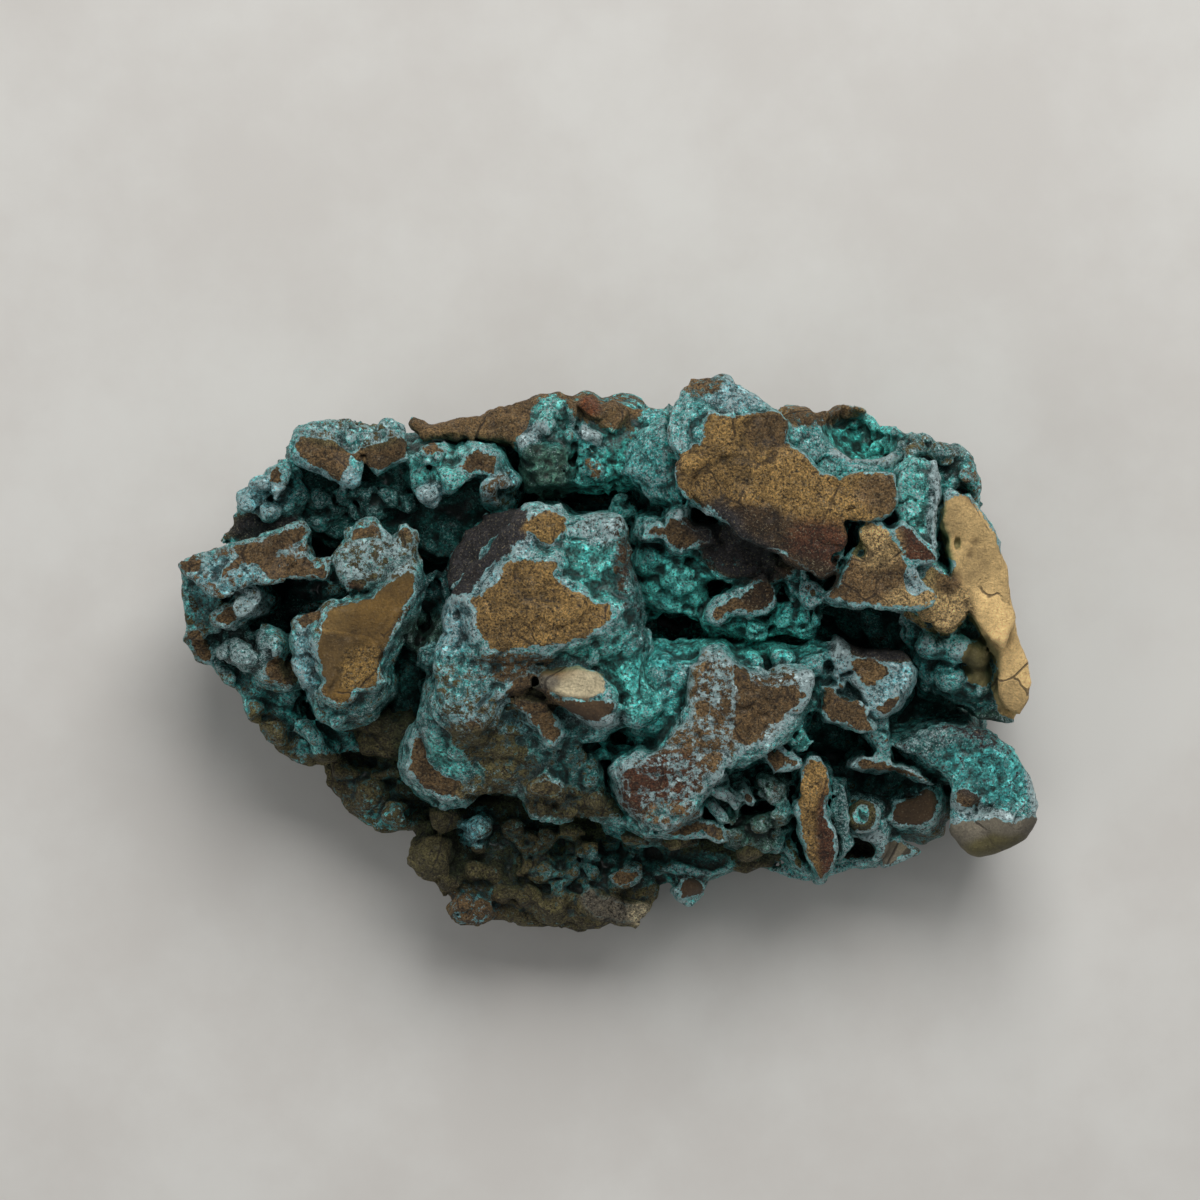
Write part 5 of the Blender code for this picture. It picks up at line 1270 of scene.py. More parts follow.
@dataclass
class SouthEastArm(Cluster):
    """The finger-like arm at the south-east, the hollow behind it and the thin lips below it."""

    name: str = "south_east_arm"
    slabs: tuple[Slab, ...] = (
        # the arm, from its root round to its tip
        Slab((26.4,-8.2, 33.8,-6.2, 37.8,-6.5, 40.3,-8.2, 42.6,-11, 43.6,-14.5, 43.3,-16, 41.8,-18.2,
            40.3,-19, 37.3,-20, 36.3,-19.7, 33.6,-17.4, 33.4,-15.6, 33.8,-14, 33.2,-12.4, 31,-10.8,
            26.8,-8.8), 21.9, (-0.04, 0.08), edge=2.2, flare=-0.2, foot=6.6),
        Slab((28,-8, 35.4,-7, 36,-9.6, 33.8,-11.6, 30.2,-10), 19.4, edge=1.6, flare=0.2, foot=4),
        # root under the arm
        Slab((27,-8, 33,-7, 36.6,-8.6, 36.4,-13.4, 33.8,-17.4, 30.8,-18.6, 26.6,-16), 12.4, edge=2,
            flare=-0.15, foot=3),
        # fluted strip and bar over the south hollow
        Slab((23.8,-10, 25,-9.5, 25.8,-9.7, 26.4,-8.8, 28.3,-10.5, 29.3,-10.6, 31.3,-11.5, 33,-13, 28.8,-11.3,
            26.8,-11.3, 23.6,-10.8), 22.6, (-0.15, 0.2), edge=0.5, flare=0.05, foot=11),
        Slab((25.6,-5.6, 27.4,-5.6, 27.8,-9.4, 26.6,-9.8, 25.4,-8), 24, (0, 0.3), edge=0.6, flare=0.05,
            foot=12),
        # floor of the south hollow
        Slab((22.4,-12, 30.6,-12, 32,-14, 30,-16.4, 27,-14.6, 23,-15), 12, edge=1.4, foot=4),
        # ring knob and its bed
        Slab((22.8,-14.6, 25,-13.4, 27.6,-14.2, 28.6,-16.4, 28,-19.4, 26.4,-20.4, 23.6,-20.2, 22.6,-18), 15.6,
            edge=1, flare=0.1, foot=5),
        # dark smooth oval
        Slab((33.5,-14, 32.3,-16.5, 31.3,-17, 29.3,-16.7, 28.3,-16.2, 28.3,-15, 28.6,-14.3, 29.3,-13.8,
            32.3,-12.8, 33.1,-13.2), 16.4, (0.1, 0.12), edge=1.1, flare=0.2, foot=6),
        # thin lips along the lower edge
        Slab((30.8,-19.5, 30,-20.5, 26.8,-21.5, 27.3,-18.5, 28.3,-17.8, 29.3,-17.8), 13.4, (0.12, 0.25),
            edge=0.5, flare=-0.1, foot=5),
        Slab((15.3,-21.6, 17.3,-22.4, 20.8,-23.2, 28,-20.4, 26.6,-19.4, 17.6,-20.4), 11, (0.06, 0.25),
            edge=0.8, flare=-0.2, foot=3.6),
        Slab((10,-21.8, 15.3,-21.8, 17.8,-20.6, 17,-18.6, 12.6,-18.4, 10.2,-19.4), 11.4, (0, 0.25), edge=1.6,
            flare=-0.2, foot=3),
    )
    domes: tuple[Dome, ...] = lumps(
        (25.3, -15.7, 17.6, 1.75, 1.75, 1.9), (38.4, -16.8, 19.6, 3.6, 2.4, 2.8, 18, 1.4),
        (35.6, -14, 20.4, 1.5, 1.4, 2.3),
    )
    hollows: tuple[Dome, ...] = lumps(
        (25.3, -15.7, 19.8, 0.75, 0.75, 1), (27.4, -13.2, 19, 3.4, 0.8, 5.6, -8),
        (24.6, -12.6, 19, 1.6, 0.9, 5), (24.9, -19.2, 14.2, 1.9, 1.1, 4, -18),
        (37.4, -15, 22.6, 1.8, 0.4, 1.2, 10), (30.4, -6.8, 21.2, 2.2, 0.5, 3.4, 4),
    )
    faces: tuple[Face, ...] = (
        Face((34.3,-13, 35.3,-12.7, 36.3,-13, 37,-14, 36.6,-14.8, 35.6,-15, 34.6,-14.2), BROWN, 2.2),
        Face((44,-16, 42.6,-19, 40,-20.4, 37.6,-21, 35.2,-20, 33.6,-18, 34.2,-16.6, 35.4,-16, 40.6,-16.2,
            42.6,-15.6), GREY, 12, True),
        Face((33.1,-14.3, 32.1,-16, 31.1,-16.6, 29.3,-16.3, 28.7,-15.8, 28.8,-14.5, 31.9,-13.2, 32.9,-13.6),
            DARK, 3.6, True),
        Face((30.3,-19.8, 27.2,-21, 27.6,-18.7, 28.4,-18.2, 29.2,-18.2, 30.2,-19.2), GREY, 2, True),
        Face((24,-10.6, 25,-10, 26.8,-10.2, 31.8,-12.2), BROWN, 1.2),
        Face((23.8,-14.6, 25.3,-14.1, 26.8,-14.8, 27.1,-16.2, 26.2,-17.2, 24.4,-17.2, 23.6,-16), OLIVE, 2.6),
    )
    patches: tuple[Patch, ...] = (
        Patch((37.6, -10.4), (5, 3.6), TURQUOISE, CHARCOAL, turn=-20, dust=0.06, bare=0.3, above=17),
        Patch((35.2, -7.6), (3.6, 1.3), TEAL, CHARCOAL, turn=-8, dust=0.12, bare=0.45),
        Patch((42.8, -13.6), (0.8, 3), SKY, turn=12, dust=0.7, bare=0.1),
        Patch((38.6, -18.6), (3, 1), turn=8, stone=OLIVE),
        Patch((38.2, -15.6), (3.6, 0.7), FROST, turn=-14, dust=0.8, bare=0, above=18),
        Patch((35.2, -17), (1.3, 1.6), SKY, dust=0.45),
        Patch((25.3, -15.7), (0.8, 0.8), BRIGHT, cover=2.5, bare=0, dust=0.2),
        Patch((25.3, -17.6), (2.6, 0.7), FROST, dust=0.7, bare=0.05, above=13),
        Patch((29.2, -10.8), (4.6, 0.9), BRIGHT, turn=-14, dust=0.45, bare=0.1, above=19),
        Patch((27, -13.4), (4.4, 1.8), DEEP, dust=0.05, bare=0.05, below=16),
        Patch((24.8, -19.2), (2.4, 1.2), stone=DARK, bare=0.9, below=13.5),
        Patch((22, -21.6), (6, 1), TURQUOISE, turn=8, dust=0.35, bare=0.05),
        Patch((13.4, -20.4), (3.6, 1.6), MOSS, OLIVE, dust=0.15, bare=0.45),
        Patch((26.6, -7.4), (1, 2.4), TURQUOISE, BROWN, dust=0.3, bare=0.3),
        Patch((31.4, -8.4), (3, 1.3), TEAL, CHARCOAL, turn=12, dust=0.3, bare=0.35),
        Patch((36, -14), (9, 6), TEAL, OLIVE, bare=0.5, dust=0.1, below=14),
    )
    skin: Skin = Skin(heave=0.25, grain=0.26, crease=0.35, bead=0.45, bead_size=1.5, stone=BROWN,
                      bare=0.25, dust=0.35)


class Landscape:
    """How high and how shut in the whole rock is, gathered from every sub-assembly on one coarse grid."""

    RIM_REACH = 5  # coarse steps over which the heights are averaged into a rim
    NEAR_REACH, FAR_REACH = 2, 5  # coarse steps over which shut-in places are judged
    PROBE = 1.1  # distance off the skin at which they are judged
    OPEN, SHUT = 0.34, 0.66  # shares of solid rock round an open and a shut-in place

    def __init__(self, clusters: Sequence[Cluster]) -> None:
        """Gathers the heights and the solid places.

        Args:
            clusters: The shaped sub-assemblies.
        """
        grids = [cluster.grid for cluster in clusters]
        self.first = np.min([grid.first for grid in grids], axis=0)
        last = np.max([grid.first + np.array(grid.coarse().shape) for grid in grids], axis=0)
        self.height = np.zeros(last[:2] - self.first[:2], np.float32)
        solid = np.zeros(last - self.first, np.float32)
        for grid in grids:
            start = grid.first - self.first
            part = tuple(slice(a, a + n) for a, n in zip(start, grid.coarse().shape))
            self.height[part[:2]] = np.maximum(self.height[part[:2]], grid.tops())
            solid[part] = np.maximum(solid[part], grid.coarse() < 0.0)
        self.rim = box_blur(self.height, self.RIM_REACH)
        self.shut = (box_blur(solid, self.NEAR_REACH) + box_blur(solid, self.FAR_REACH)) / 2.0

    def sample(self, values: Array, points: Array) -> Array:
        """Reads a grid between its points: the corner values, weighted by nearness.

        Args:
            values: Values on the coarse grid, in plan or in space.
            points: Places in millimetres, one a row.

        Returns:
            One value for each place.
        """
        axes = values.ndim
        spot = points[:, :axes] / COARSE - self.first[:axes]
        spot = np.clip(spot, 0.0, np.array(values.shape) - 1.001)
        base = spot.astype(np.int32)
        share = spot - base
        total = np.zeros(len(points), np.float32)
        for corner in itertools.product((0, 1), repeat=axes):
            weight = np.prod(np.where(corner, share, 1.0 - share), axis=1)
            total += weight * values[tuple((base + np.array(corner)).T)]
        return total

    def read(self, points: Array) -> tuple[Array, Array]:
        """How far places lie below the highest skin above them, and how far that skin lies below its rim."""
        height = self.sample(self.height, points)
        return height - points[:, 2], self.sample(self.rim, points) - height

    def shade(self, points: Array, normals: Array) -> Array:
        """How shut in places are, by the rock round a point just off the skin: 0 in the open to 1; the
        finishes paint shade by it.
        """
        return smoothstep(self.OPEN, self.SHUT, self.sample(self.shut, points + normals * self.PROBE))


def point_normals(points: Array, faces: Array) -> Array:
    """Directions of the skin at its points: the sum of the crossed diagonals of the faces round each.

    Args:
        points: The mesh's points.
        faces: Its four-sided faces.

    Returns:
        One unit direction for each point.
    """
    crossed = np.cross(points[faces[:, 2]] - points[faces[:, 0]], points[faces[:, 3]] - points[faces[:, 1]])
    total = np.stack(
        [np.bincount(faces.ravel(), np.repeat(crossed[:, axis], 4), len(points)) for axis in range(3)], axis=1
    )
    return total / np.maximum(np.linalg.norm(total, axis=1, keepdims=True), 1e-9)


def crests(points: Array, faces: Array, normals: Array) -> Array:
    """How far the skin stands proud of its own smoothed self, which each round draws from the neighbours.

    Args:
        points: The mesh's points.
        faces: Its four-sided faces.
        normals: The skin's directions at the points.

    Returns:
        Heights in millimetres: positive on crests, negative in creases.
    """
    start, end = faces.ravel(), np.roll(faces, -1, axis=1).ravel()
    count = np.bincount(start, minlength=len(points)) + np.bincount(end, minlength=len(points))
    smooth = points.astype(np.float64)
    for _ in range(CREST_ROUNDS):
        columns = [
            np.bincount(start, column[end], len(points)) + np.bincount(end, column[start], len(points))
            for column in smooth.T
        ]
        smooth = np.stack(columns, axis=1) / count[:, None]
    return np.sum((points - smooth) * normals, axis=1)


@dataclass
class Paint:
    """What the skin shows at each of its points."""

    LEVELS = ("broken", "bare", "dust", "shade", "crest", "calm")
    TINTS = ("stone", "crust")

    broken: Array  # millimetres inside the edge of a broken face, negative outside
    bare: Array
    dust: Array
    # how shut in the point is, which the finishes turn into painted shade
    shade: Array
    # how far the point stands proud: more frost and wear on crests, with painted light on crests and painted
    # shade in creases
    crest: Array
    calm: Array
    stone: Array
    crust: Array

    @classmethod
    def of(cls, cluster: Cluster, points: Array, faces: Array, land: Landscape) -> "Paint":
        """Starts from the sub-assembly's own skin, opens its broken faces, then lays its patches over both.

        Args:
            cluster: The sub-assembly.
            points: The points of its mesh.
            faces: Its four-sided faces.
            land: The whole rock's heights.

        Returns:
            The finished values.
        """
        x, y = wandered(points[:, 0], points[:, 1])
        below, _ = land.read(points)
        skin, count = cluster.skin, len(points)
        stone = np.tile(linear(skin.stone.value), (count, 1))
        crust = np.tile(linear(skin.crust.value), (count, 1))
        broken, calm = np.full(count, -FAR), np.zeros(count)
        tops = [Face(slab.outline, slab.face) for slab in cluster.slabs if slab.face]
        insets = [slab.inset for slab in cluster.slabs if slab.face] + [0.0] * len(cluster.faces)
        for face, inset in zip([*tops, *cluster.faces], insets):
            within = np.minimum(-outline_distance(x, y, face.outline) - inset, face.reach - below)
            weight = smoothstep(-0.6, 0.0, within)[:, None]
            stone += (linear(face.stone.value) - stone) * weight
            calm += (float(face.calm) - calm) * weight[:, 0]
            broken = np.maximum(broken, within)
        bare, dust = np.full(count, skin.bare), np.full(count, skin.dust)
        for patch in cluster.patches:
            weight = patch.weight(x, y, points[:, 2])
            broken -= patch.cover * weight
            if patch.bare is not None:
                bare += (patch.bare - bare) * weight
            if patch.dust is not None:
                dust += (patch.dust - dust) * weight
            if patch.stone:
                stone += (linear(patch.stone.value) - stone) * weight[:, None]
            if patch.crust:
                crust += (linear(patch.crust.value) - crust) * weight[:, None]
        normals = point_normals(points, faces)
        crest = np.clip(crests(points, faces, normals) / CREST, -1.0, 1.0)
        return cls(broken, bare, dust, land.shade(points, normals), crest, calm, stone, crust)

    def store(self, mesh: bpy.types.Mesh) -> None:
        """Writes the values to a mesh as point attributes.

        Args:
            mesh: The mesh, with its points in the same order.
        """
        for name in self.LEVELS:
            layer = mesh.attributes.new(name, "FLOAT", "POINT")
            layer.data.foreach_set("value", getattr(self, name).astype(np.float32))
        for name in self.TINTS:
            layer = mesh.attributes.new(name, "FLOAT_COLOR", "POINT")
            colour = np.concatenate([getattr(self, name), np.ones((len(self.stone), 1))], axis=1)
            layer.data.foreach_set("color", colour.astype(np.float32).ravel())


class Graph:
    """Lays out nodes in one tree."""

    def __init__(self, tree: bpy.types.NodeTree) -> None:
        """Takes the tree to fill."""
        self.tree = tree

    def feed(self, socket: Socket, value: Value) -> None:
        """Links a socket to another, or sets it to a constant.

        Args:
            socket: The socket to feed.
            value: Where its value comes from.
        """
        if isinstance(value, Socket):
            self.tree.links.new(value, socket)
        else:
            socket.default_value = value

    def node(self, kind: str, sockets: dict[str | int, Value], **settings: object) -> bpy.types.Node:
        """Adds a node.

        Args:
            kind: Its type.
            sockets: Values for its inputs, by name or number.
            settings: Its own settings.

        Returns:
            The node.
        """
        node = self.tree.nodes.new(kind)
        for key, setting in settings.items():
            setattr(node, key, setting)
        for key, value in sockets.items():
            self.feed(node.inputs[key], value)
        return node

    def math(self, operation: str, *values: Value) -> Socket:
        """Does arithmetic."""
        return self.node("ShaderNodeMath", dict(enumerate(values)), operation=operation).outputs[0]

    def product(self, first: Value, *others: Value) -> Socket:
        """Multiplies values in turn."""
        return functools.reduce(lambda a, b: self.math("MULTIPLY", a, b), others, first)

    def line(self, value: Value, slope: Value, start: Value) -> Socket:
        """A slope times a value, plus a start."""
        return self.math("MULTIPLY_ADD", value, slope, start)

    def rest(self, share: Value) -> Socket:
        """One less a share."""
        return self.math("SUBTRACT", 1.0, share)

    def step(self, value: Value, low: Value, high: Value, start: float = 0.0, end: float = 1.0) -> Socket:
        """Goes smoothly from start to end as a value rises from low to high."""
        sockets = {"Value": value, "From Min": low, "From Max": high, "To Min": start, "To Max": end}
        return self.node("ShaderNodeMapRange", sockets, interpolation_type="SMOOTHSTEP").outputs[0]

    def mix(self, share: Value, first: Value, second: Value, blend: str = "MIX") -> Socket:
        """Mixes two colours, with a share of the second."""
        node = self.node("ShaderNodeMix", {0: share, 6: first, 7: second}, data_type="RGBA", blend_type=blend)
        return node.outputs[2]

    def noise(
        self, place: Socket, per_mm: float, detail: float = 2.0, roughness: float = 0.55, offset: float = 0.0
    ) -> Socket:
        """Reads fractal noise, with values round 0.5.

        Args:
            place: Where, in millimetres.
            per_mm: Cells a millimetre.
            detail: Octaves.
            roughness: Strength of each octave next to the last.
            offset: How far the place is moved, so that two noises differ.

        Returns:
            The noise.
        """
        if offset:
            moved = {0: place, 1: (offset, offset * 0.7, -offset)}
            place = self.node("ShaderNodeVectorMath", moved, operation="ADD").outputs[0]
        sockets = {"Vector": place, "Scale": per_mm, "Detail": detail, "Roughness": roughness}
        return self.node("ShaderNodeTexNoise", sockets).outputs[0]

    def scaled(self, colour: Value, factor: Value) -> Socket:
        """Multiplies a colour by a factor."""
        node = self.node("ShaderNodeVectorMath", {0: colour}, operation="SCALE")
        self.feed(node.inputs["Scale"], factor)
        return node.outputs[0]


class Effect:
    """A node group that every finish shares, built once."""

    KINDS = {"v": "NodeSocketVector", "f": "NodeSocketFloat", "c": "NodeSocketColor"}

    def __init__(self, name: str, inputs: dict[str, str], outputs: dict[str, str]) -> None:
        """Opens an empty group.

        Args:
            name: The group's name.
            inputs: Names of its inputs and their kinds: v a vector, f a number, c a colour.
            outputs: Names of its outputs and their kinds.
        """
        self.tree = bpy.data.node_groups.new(name, "ShaderNodeTree")
        for way, sockets in (("INPUT", inputs), ("OUTPUT", outputs)):
            for label, kind in sockets.items():
                self.tree.interface.new_socket(name=label, in_out=way, socket_type=self.KINDS[kind])
        self.graph = Graph(self.tree)
        self.given = self.tree.nodes.new("NodeGroupInput").outputs
        self.result = self.tree.nodes.new("NodeGroupOutput").inputs

    def give(self, **results: Value) -> None:
        """Feeds the group's outputs."""
        for label, value in results.items():
            self.graph.feed(self.result[label], value)

    def place(self, graph: Graph, sockets: dict[str | int, Value]) -> bpy.types.Node:
        """Places the group in a material."""
        return graph.node("ShaderNodeGroup", sockets, node_tree=self.tree)


class WanderingEdge(Effect):
    """Makes the edge of a broken face ragged, and finds the pale fringe of crust outside it."""

    def __init__(self) -> None:
        """Builds the group: the distance is shifted by two noises, then cut at nought."""
        super().__init__(
            "Wandering edge", {"Place": "v", "Broken": "f", "Fringe": "f"},
            {"Face": "f", "Fringe": "f", "Halo": "f"}
        )
        g, place = self.graph, self.given["Place"]
        coarse = g.line(g.noise(place, 0.9), 1.2, -0.6)
        fine = g.line(g.noise(place, 3.6, offset=9.0), 0.5, -0.25)
        edge = g.math("ADD", g.math("ADD", self.given["Broken"], coarse), fine)
        face = g.step(edge, -0.05, 0.07)
        outer = g.product(self.given["Fringe"], -1.0)
        band = g.step(edge, outer, g.product(outer, 0.45))
        patchy = g.step(g.noise(place, 0.6, offset=23.0), 0.36, 0.54, 0.15, 1.0)
        band = g.product(g.product(band, g.rest(face)), patchy)
        self.give(Face=face, Fringe=band, Halo=g.step(edge, -1.6, -0.2))


class BrokenStone(Effect):
    """Granular stone: grains of uneven tone with dark specks and a few light grains, and blocks painted
    lighter or darker as lit and shaded facets.
    """

    LIGHT_GRAIN = (0.46, 0.37, 0.22, 1.0)
    SPECK = (0.022, 0.014, 0.009, 1.0)

    def __init__(self) -> None:
        """Builds the group: cell by cell brightness, broad tone, specks from thresholds of noise, and painted
        facet light block by block.
        """
        super().__init__(
            "Broken stone", {"Place": "v", "Colour": "c", "Grains": "f", "Specks": "f", "Calm": "f"},
            {"Colour": "c", "Height": "f"}
        )
        g, place = self.graph, self.given["Place"]
        rough = g.rest(g.product(self.given["Calm"], 0.75))
        cells = g.node("ShaderNodeTexVoronoi", {"Vector": place, "Scale": self.given["Grains"]})
        tone = g.node("ShaderNodeSeparateColor", {0: cells.outputs["Color"]}).outputs[0]
        tone = g.line(g.line(tone, 0.8, -0.4), rough, 1.28)
        broad = g.line(g.noise(place, 0.27, 4.0, 0.6), 2.0, 0.05)
        grit = g.noise(place, 4.6, 4.0, 0.75, offset=5.0)
        fine = g.line(g.line(grit, 6.0, -3.0), rough, 1.0)
        colour = g.scaled(self.given["Colour"], g.product(tone, broad, fine))
        light = g.product(g.step(g.noise(place, 4.4, 3.0, 0.7, offset=41.0), 0.58, 0.64), 0.7)
        colour = g.mix(g.product(light, rough), colour, self.LIGHT_GRAIN)
        dark = g.step(g.noise(place, 2.4, 4.0, 0.7, offset=13.0), 0.55, 0.62)
        dark = g.product(dark, self.given["Specks"], rough)
        bend = {0: place, 1: g.noise(place, 0.5, offset=77.0)}
        bent = g.node("ShaderNodeVectorMath", bend, operation="ADD")
        blocks = {"Vector": bent.outputs[0], "Scale": 0.15}
        joint = g.node("ShaderNodeTexVoronoi", blocks, feature="DISTANCE_TO_EDGE").outputs["Distance"]
        joint = g.product(g.step(joint, 0.006, 0.022, 1.0, 0.0), g.step(broad, 0.9, 1.15, 0.0, 0.75))
        dark = g.math("MAXIMUM", dark, joint)
        # painted light and shade: each block lighter or darker by its own amount, as facets that face the
        # light differently
        cells = g.node("ShaderNodeTexVoronoi", blocks)
        facet_light = g.node("ShaderNodeSeparateColor", {0: cells.outputs["Color"]})
        colour = g.scaled(colour, g.line(facet_light.outputs[0], 0.5, 0.75))
        colour = g.mix(dark, colour, self.SPECK)
        height = g.math("SUBTRACT", g.line(tone, 0.5, fine), g.product(dark, 1.4))
        self.give(Colour=colour, Height=height)


class MineralCrust(Effect):
    """Copper crust: tone that drifts, white frosting in blotches, brown soil in creases and dark pits, with
    painted light on crests, painted shade in creases and painted glints.
    """

    COOL = (0.45, 0.95, 1.0, 1.0)  # what the bluer blotches are multiplied by
    SOIL = (0.060, 0.047, 0.028, 1.0)
    FROSTING = (0.44, 0.68, 0.68, 1.0)
    # colour of the painted glints
    PAINTED_GLINT = (0.70, 0.88, 0.88, 1.0)
    PIT = (0.006, 0.035, 0.035, 1.0)

    def __init__(self) -> None:
        """Builds the group: noises and veins of tone, painted light and shade by crest, then soil, frosting,
        painted glints and pits past a level.
        """
        super().__init__(
            "Mineral crust", {"Place": "v", "Colour": "c", "Dust": "f", "Pits": "f", "Soil": "f",
             "Crest": "f", "Halo": "f"},
            {"Colour": "c", "Height": "f"}
        )
        g, place = self.graph, self.given["Place"]
        broad = g.line(g.noise(place, 0.5, 3.0), 1.8, 0.55)
        fine = g.noise(place, 3.4, 5.0, 0.75, offset=3.0)
        tone = g.product(broad, g.line(fine, 4.2, -1.05))
        vein = g.line(g.noise(place, 0.8, 7.0, 0.68, offset=91.0), 2.0, -1.0)
        vein = g.step(g.math("ABSOLUTE", vein), 0.0, 0.16)
        tone = g.product(tone, g.line(vein, 0.40, 0.70))
        # painted light and shade: crests lighter, creases darker
        tone = g.product(tone, g.step(self.given["Crest"], -0.9, 0.9, 0.45, 1.45))
        colour = g.scaled(self.given["Colour"], tone)
        colour = g.mix(g.step(g.noise(place, 0.9, offset=51.0), 0.46, 0.62, 0.0, 0.45), colour,
                       g.mix(1.0, colour, self.COOL, "MULTIPLY"))
        level = g.math("SUBTRACT", 0.68, g.product(self.given["Dust"], 0.27))
        level = g.math("SUBTRACT", level, g.product(self.given["Crest"], 0.07))
        level = g.math("SUBTRACT", level, g.product(self.given["Halo"], 0.035))
        soil = g.noise(place, 1.5, 6.0, 0.78, offset=61.0)
        soil = g.math("SUBTRACT", soil, g.product(self.given["Crest"], 0.09))
        soil = g.product(g.step(soil, 0.52, 0.60), self.given["Soil"])
        colour = g.mix(soil, colour, self.SOIL)
        frost = g.step(g.noise(place, 2.8, 6.0, 0.82, offset=17.0), level, g.math("ADD", level, 0.05))
        colour = g.mix(g.product(frost, 0.85), colour, self.FROSTING)
        # painted glints: bright specks of highlight, thickest where the frost and crests are
        painted_glint = g.noise(place, 5.0, 4.0, 0.8, offset=33.0)
        painted_glint = g.step(painted_glint, g.math("ADD", level, -0.04), level)
        colour = g.mix(g.product(painted_glint, 0.9), colour, self.PAINTED_GLINT)
        pit = g.step(g.noise(place, 2.6, 5.0, 0.75, offset=29.0), 0.53, 0.58)
        colour = g.mix(g.product(pit, self.given["Pits"]), colour, self.PIT)
        height = g.math("SUBTRACT", g.math("ADD", fine, g.product(frost, 0.4)), pit)
        height = g.line(vein, 1.3, height)
        self.give(Colour=colour, Height=height)


class PaintedShade(Effect):
    """Paints shade: darkens shut-in places and the creases of the skin."""

    def __init__(self) -> None:
        """Builds the group: painted shade, where in shut-in places the colour falls towards a multiple of the
        tint, and in creases it falls to 0.6 of itself.
        """
        super().__init__(
            "Painted shade", {"Colour": "c", "Tint": "c", "Shade": "f", "Crest": "f"}, {"Colour": "c"}
        )
        g = self.graph
        # painted shade: shut-in places fall towards the colour times the tint
        shaded_colour = g.mix(1.0, self.given["Colour"], self.given["Tint"], "MULTIPLY")
        colour = g.mix(self.given["Shade"], self.given["Colour"], shaded_colour)
        # painted shade: creases darken to 0.6 of the colour
        self.give(Colour=g.scaled(colour, g.step(self.given["Crest"], -1.0, 0.1, 0.60, 1.0)))


@dataclass(frozen=True)
class Effects:
    """The four groups that the finishes are made of."""

    edge: WanderingEdge
    stone: BrokenStone
    crust: MineralCrust
    hollow: PaintedShade


@dataclass(frozen=True)
class Finish:
    """How one sub-assembly is finished."""

    grains: float = 3.4  # stone grains a millimetre
    specks: float = 0.75
    pits: float = 0.8
    soil: float = 0.5  # how much brown dirt lies in the crust's creases
    fringe: float = 0.17  # width of the pale fringe in millimetres
    gloss: float = 0.16  # coat on the crust
    rim: float = 0.6  # strength of the pale line round bare spots
    fringe_shade: Shade = (0.66, 0.88, 0.89)
    # colour that the painted shade in hollows falls towards
    painted_shade_tint: Shade = (0.72, 0.88, 0.86)

    def material(self, name: str, effects: Effects) -> bpy.types.Material:
        """Builds the finish: crust, then stone where it is broken or bare, with painted shade in the hollows
        and creases.

        Args:
            name: The material's name.
            effects: The shared groups.

        Returns:
            The material.
        """
        material = bpy.data.materials.new(name)
        material.use_nodes = True
        g = Graph(material.node_tree)
        surface = material.node_tree.nodes["Principled BSDF"]
        given = {
            label: g.node("ShaderNodeAttribute", {}, attribute_name=label).outputs[kind]
            for labels, kind in ((Paint.LEVELS, "Fac"), (Paint.TINTS, "Color")) for label in labels
        }
        place = g.scaled(g.node("ShaderNodeTexCoord", {}).outputs["Object"], 1.0 / MM)
        edge = effects.edge.place(
            g, {"Place": place, "Broken": given["broken"], "Fringe": self.fringe}
        )
        stone = effects.stone.place(
            g,
            {"Place": place, "Colour": given["stone"], "Grains": self.grains,
             "Specks": self.specks, "Calm": given["calm"]},
        )
        crust = effects.crust.place(
            g,
            {"Place": place, "Colour": given["crust"], "Dust": given["dust"],
             "Pits": self.pits, "Soil": self.soil, "Crest": given["crest"],
             "Halo": edge.outputs["Halo"]},
        )
        level = g.line(given["bare"], -0.48, 0.74)
        level = g.line(given["crest"], -0.05, level)
        wear = g.noise(place, 1.15, 7.0, 0.80, offset=71.0)
        bare = g.step(wear, level, g.math("ADD", level, 0.04))
        crusted = g.rest(given["bare"])
        face, fringe = edge.outputs["Face"], g.product(edge.outputs["Fringe"], crusted)
        share = g.math("MAXIMUM", face, g.product(bare, g.rest(fringe)))
        line = g.step(wear, g.math("ADD", level, -0.026), g.math("ADD", level, -0.008))
        fringe = g.math("MAXIMUM", fringe, g.product(line, g.product(crusted, self.rim)))
        colour = g.mix(fringe, crust.outputs["Colour"], (*linear(self.fringe_shade), 1.0))
        colour = g.mix(share, colour, stone.outputs["Colour"])
        # painted shade in the hollows and creases
        hollow = effects.hollow.place(
            g,
            {"Colour": colour, "Tint": (*linear(self.painted_shade_tint), 1.0), "Shade": given["shade"],
             "Crest": given["crest"]},
        )
        g.feed(surface.inputs["Base Color"], hollow.outputs["Colour"])
        worn = g.line(given["calm"], -0.12, 0.80)
        rough = g.node("ShaderNodeMix", {0: share, 2: 0.62, 3: worn}).outputs[0]
        g.feed(surface.inputs["Roughness"], rough)
        g.feed(surface.inputs["Coat Weight"], g.step(share, 0.0, 1.0, self.gloss, 0.05))
        g.feed(surface.inputs["Coat Roughness"], 0.22)
        height = g.node("ShaderNodeMix", {0: share, 2: crust.outputs["Height"], 3: stone.outputs["Height"]})
        bump = g.node("ShaderNodeBump", {"Strength": 0.9, "Distance": 0.24 * MM, "Height": height.outputs[0]})
        g.feed(surface.inputs["Normal"], bump.outputs[0])
        return material


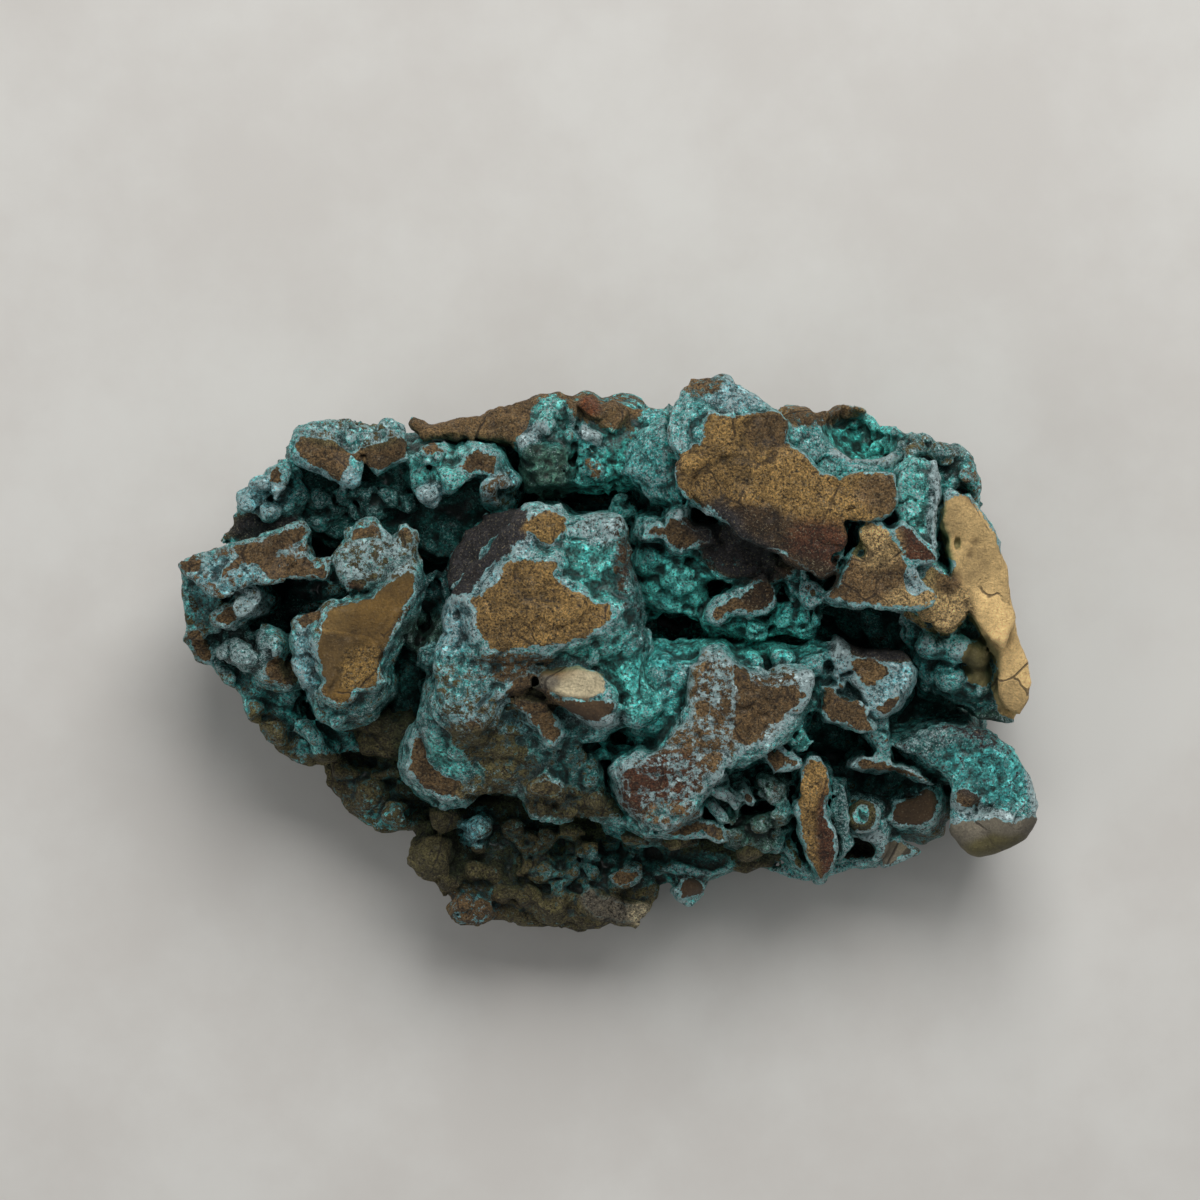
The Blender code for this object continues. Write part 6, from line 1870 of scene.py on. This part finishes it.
FINISHES = {
    "core": Finish(soil=0.4, fringe=0.2),
    "south_shelf": Finish(grains=2.8, specks=0.85, soil=0.9),
    "west_ledges": Finish(fringe=0.2),
    "north_west_knobs": Finish(fringe=0.2, specks=0.7),
    "centre_block": Finish(specks=0.85),
    "south_block": Finish(specks=0.8, pits=0.75, fringe=0.2),
    "north_wall": Finish(grains=2.4, specks=0.65),
    "north_east_plateau": Finish(grains=3.8, specks=0.8),
    "east_slab": Finish(grains=2.4, specks=0.5),
    "south_east_arm": Finish(grains=3.0, pits=0.85, specks=0.6),
}


def mesh_object(name: str, points: Array, faces: Array, material: bpy.types.Material) -> bpy.types.Object:
    """Makes a smooth mesh object at the origin.

    Args:
        name: The object's name.
        points: Its points in millimetres.
        faces: Its four-sided faces.
        material: Its finish.

    Returns:
        The object.
    """
    mesh = bpy.data.meshes.new(name)
    mesh.vertices.add(len(points))
    mesh.vertices.foreach_set("co", (points * MM).astype(np.float32).ravel())
    mesh.loops.add(faces.size)
    mesh.loops.foreach_set("vertex_index", faces.astype(np.int32).ravel())
    mesh.polygons.add(len(faces))
    mesh.polygons.foreach_set("loop_start", np.arange(0, faces.size, 4, dtype=np.int32))
    mesh.update(calc_edges=True)
    mesh.shade_smooth()
    mesh.materials.append(material)
    thing = bpy.data.objects.new(name, mesh)
    bpy.context.scene.collection.objects.link(thing)
    return thing


@dataclass
class Studio:
    """A pale honed floor, soft light from behind the top edge, and a camera straight overhead."""

    aim: Place = (-1.2, 6.0, 25.0)  # middle of the view in millimetres
    frame: float = 120.0  # width of the view there
    height: float = 900.0  # of the camera above it
    floor: float = 900.0
    sensor: float = 36.0

    def build(self) -> None:
        """Makes the floor, the lights and the camera."""
        self.lay_floor()
        self.lamp("soft light", (90.0, 380.0, 560.0), 420.0, 3.85)
        self.lamp("fill light", (-420.0, -120.0, 560.0), 400.0, 0.5)
        world = bpy.data.worlds.new("room")
        world.use_nodes = True
        world.node_tree.nodes["Background"].inputs["Color"].default_value = (0.93, 0.97, 1.0, 1.0)
        world.node_tree.nodes["Background"].inputs["Strength"].default_value = 0.235
        bpy.context.scene.world = world
        bpy.context.scene.view_settings.view_transform = "Standard"
        camera = bpy.data.cameras.new("overhead")
        camera.sensor_width = self.sensor
        camera.lens = self.sensor * self.height / self.frame
        camera.clip_end = 10.0
        eye = bpy.data.objects.new("overhead", camera)
        eye.location = (self.aim[0] * MM, self.aim[1] * MM, (self.aim[2] + self.height) * MM)
        bpy.context.scene.collection.objects.link(eye)
        bpy.context.scene.camera = eye

    def lamp(self, name: str, place: Place, size: float, power: float) -> None:
        """Hangs a square lamp that faces the rock.

        Args:
            name: Its name.
            place: Where it hangs, in millimetres.
            size: Its side in millimetres.
            power: Its power in watts.
        """
        light = bpy.data.lights.new(name, "AREA")
        light.size, light.energy = size * MM, power
        thing = bpy.data.objects.new(name, light)
        thing.location = [value * MM for value in place]
        thing.rotation_euler = thing.location.to_track_quat("Z", "Y").to_euler()
        bpy.context.scene.collection.objects.link(thing)

    def lay_floor(self) -> None:
        """Lays a plane of pale honed stone with faint clouds in it."""
        material = bpy.data.materials.new("honed floor")
        material.use_nodes = True
        g = Graph(material.node_tree)
        surface = material.node_tree.nodes["Principled BSDF"]
        place = g.scaled(g.node("ShaderNodeTexCoord", {}).outputs["Object"], 1.0 / MM)
        clouds = g.step(g.noise(place, 0.03, 6.0, 0.6), 0.35, 0.65)
        g.feed(surface.inputs["Base Color"], g.mix(clouds, (0.60, 0.57, 0.53, 1.0), (0.66, 0.64, 0.60, 1.0)))
        surface.inputs["Roughness"].default_value = 0.55
        half = self.floor / 2.0
        corners = np.array([(-half, -half, 0.0), (half, -half, 0.0), (half, half, 0.0), (-half, half, 0.0)])
        plane = mesh_object("floor", corners, np.array([[0, 1, 2, 3]]), material)


def main() -> None:
    """Builds the rock, sub-assembly by sub-assembly, and the studio round it."""
    logging.basicConfig(level=logging.INFO, format="%(message)s")
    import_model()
    clusters = (
        Core(), SouthShelf(), WestLedges(), NorthWestKnobs(), CentreBlock(), SouthBlock(), NorthWall(),
        NorthEastPlateau(), EastSlab(), SouthEastArm(),
    )
    for cluster in clusters:
        cluster.shape()
    land = Landscape(clusters)
    log.info("shaped %d sub-assemblies", len(clusters))
    effects = Effects(WanderingEdge(), BrokenStone(), MineralCrust(), PaintedShade())
    for cluster in clusters:
        cluster.roughen(land)
        points, faces = keep_largest(*cluster.grid.surface())
        material = FINISHES[cluster.name].material(cluster.name, effects)
        piece = mesh_object(cluster.name, points, faces, material)
        Paint.of(cluster, points, faces, land).store(piece.data)
        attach(piece, "root")
        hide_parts(ROCK)
        log.info("%s: %d triangles", cluster.name, 2 * len(faces))
        cluster.grid = None
    Studio().build()


if __name__ == "__main__":
    main()
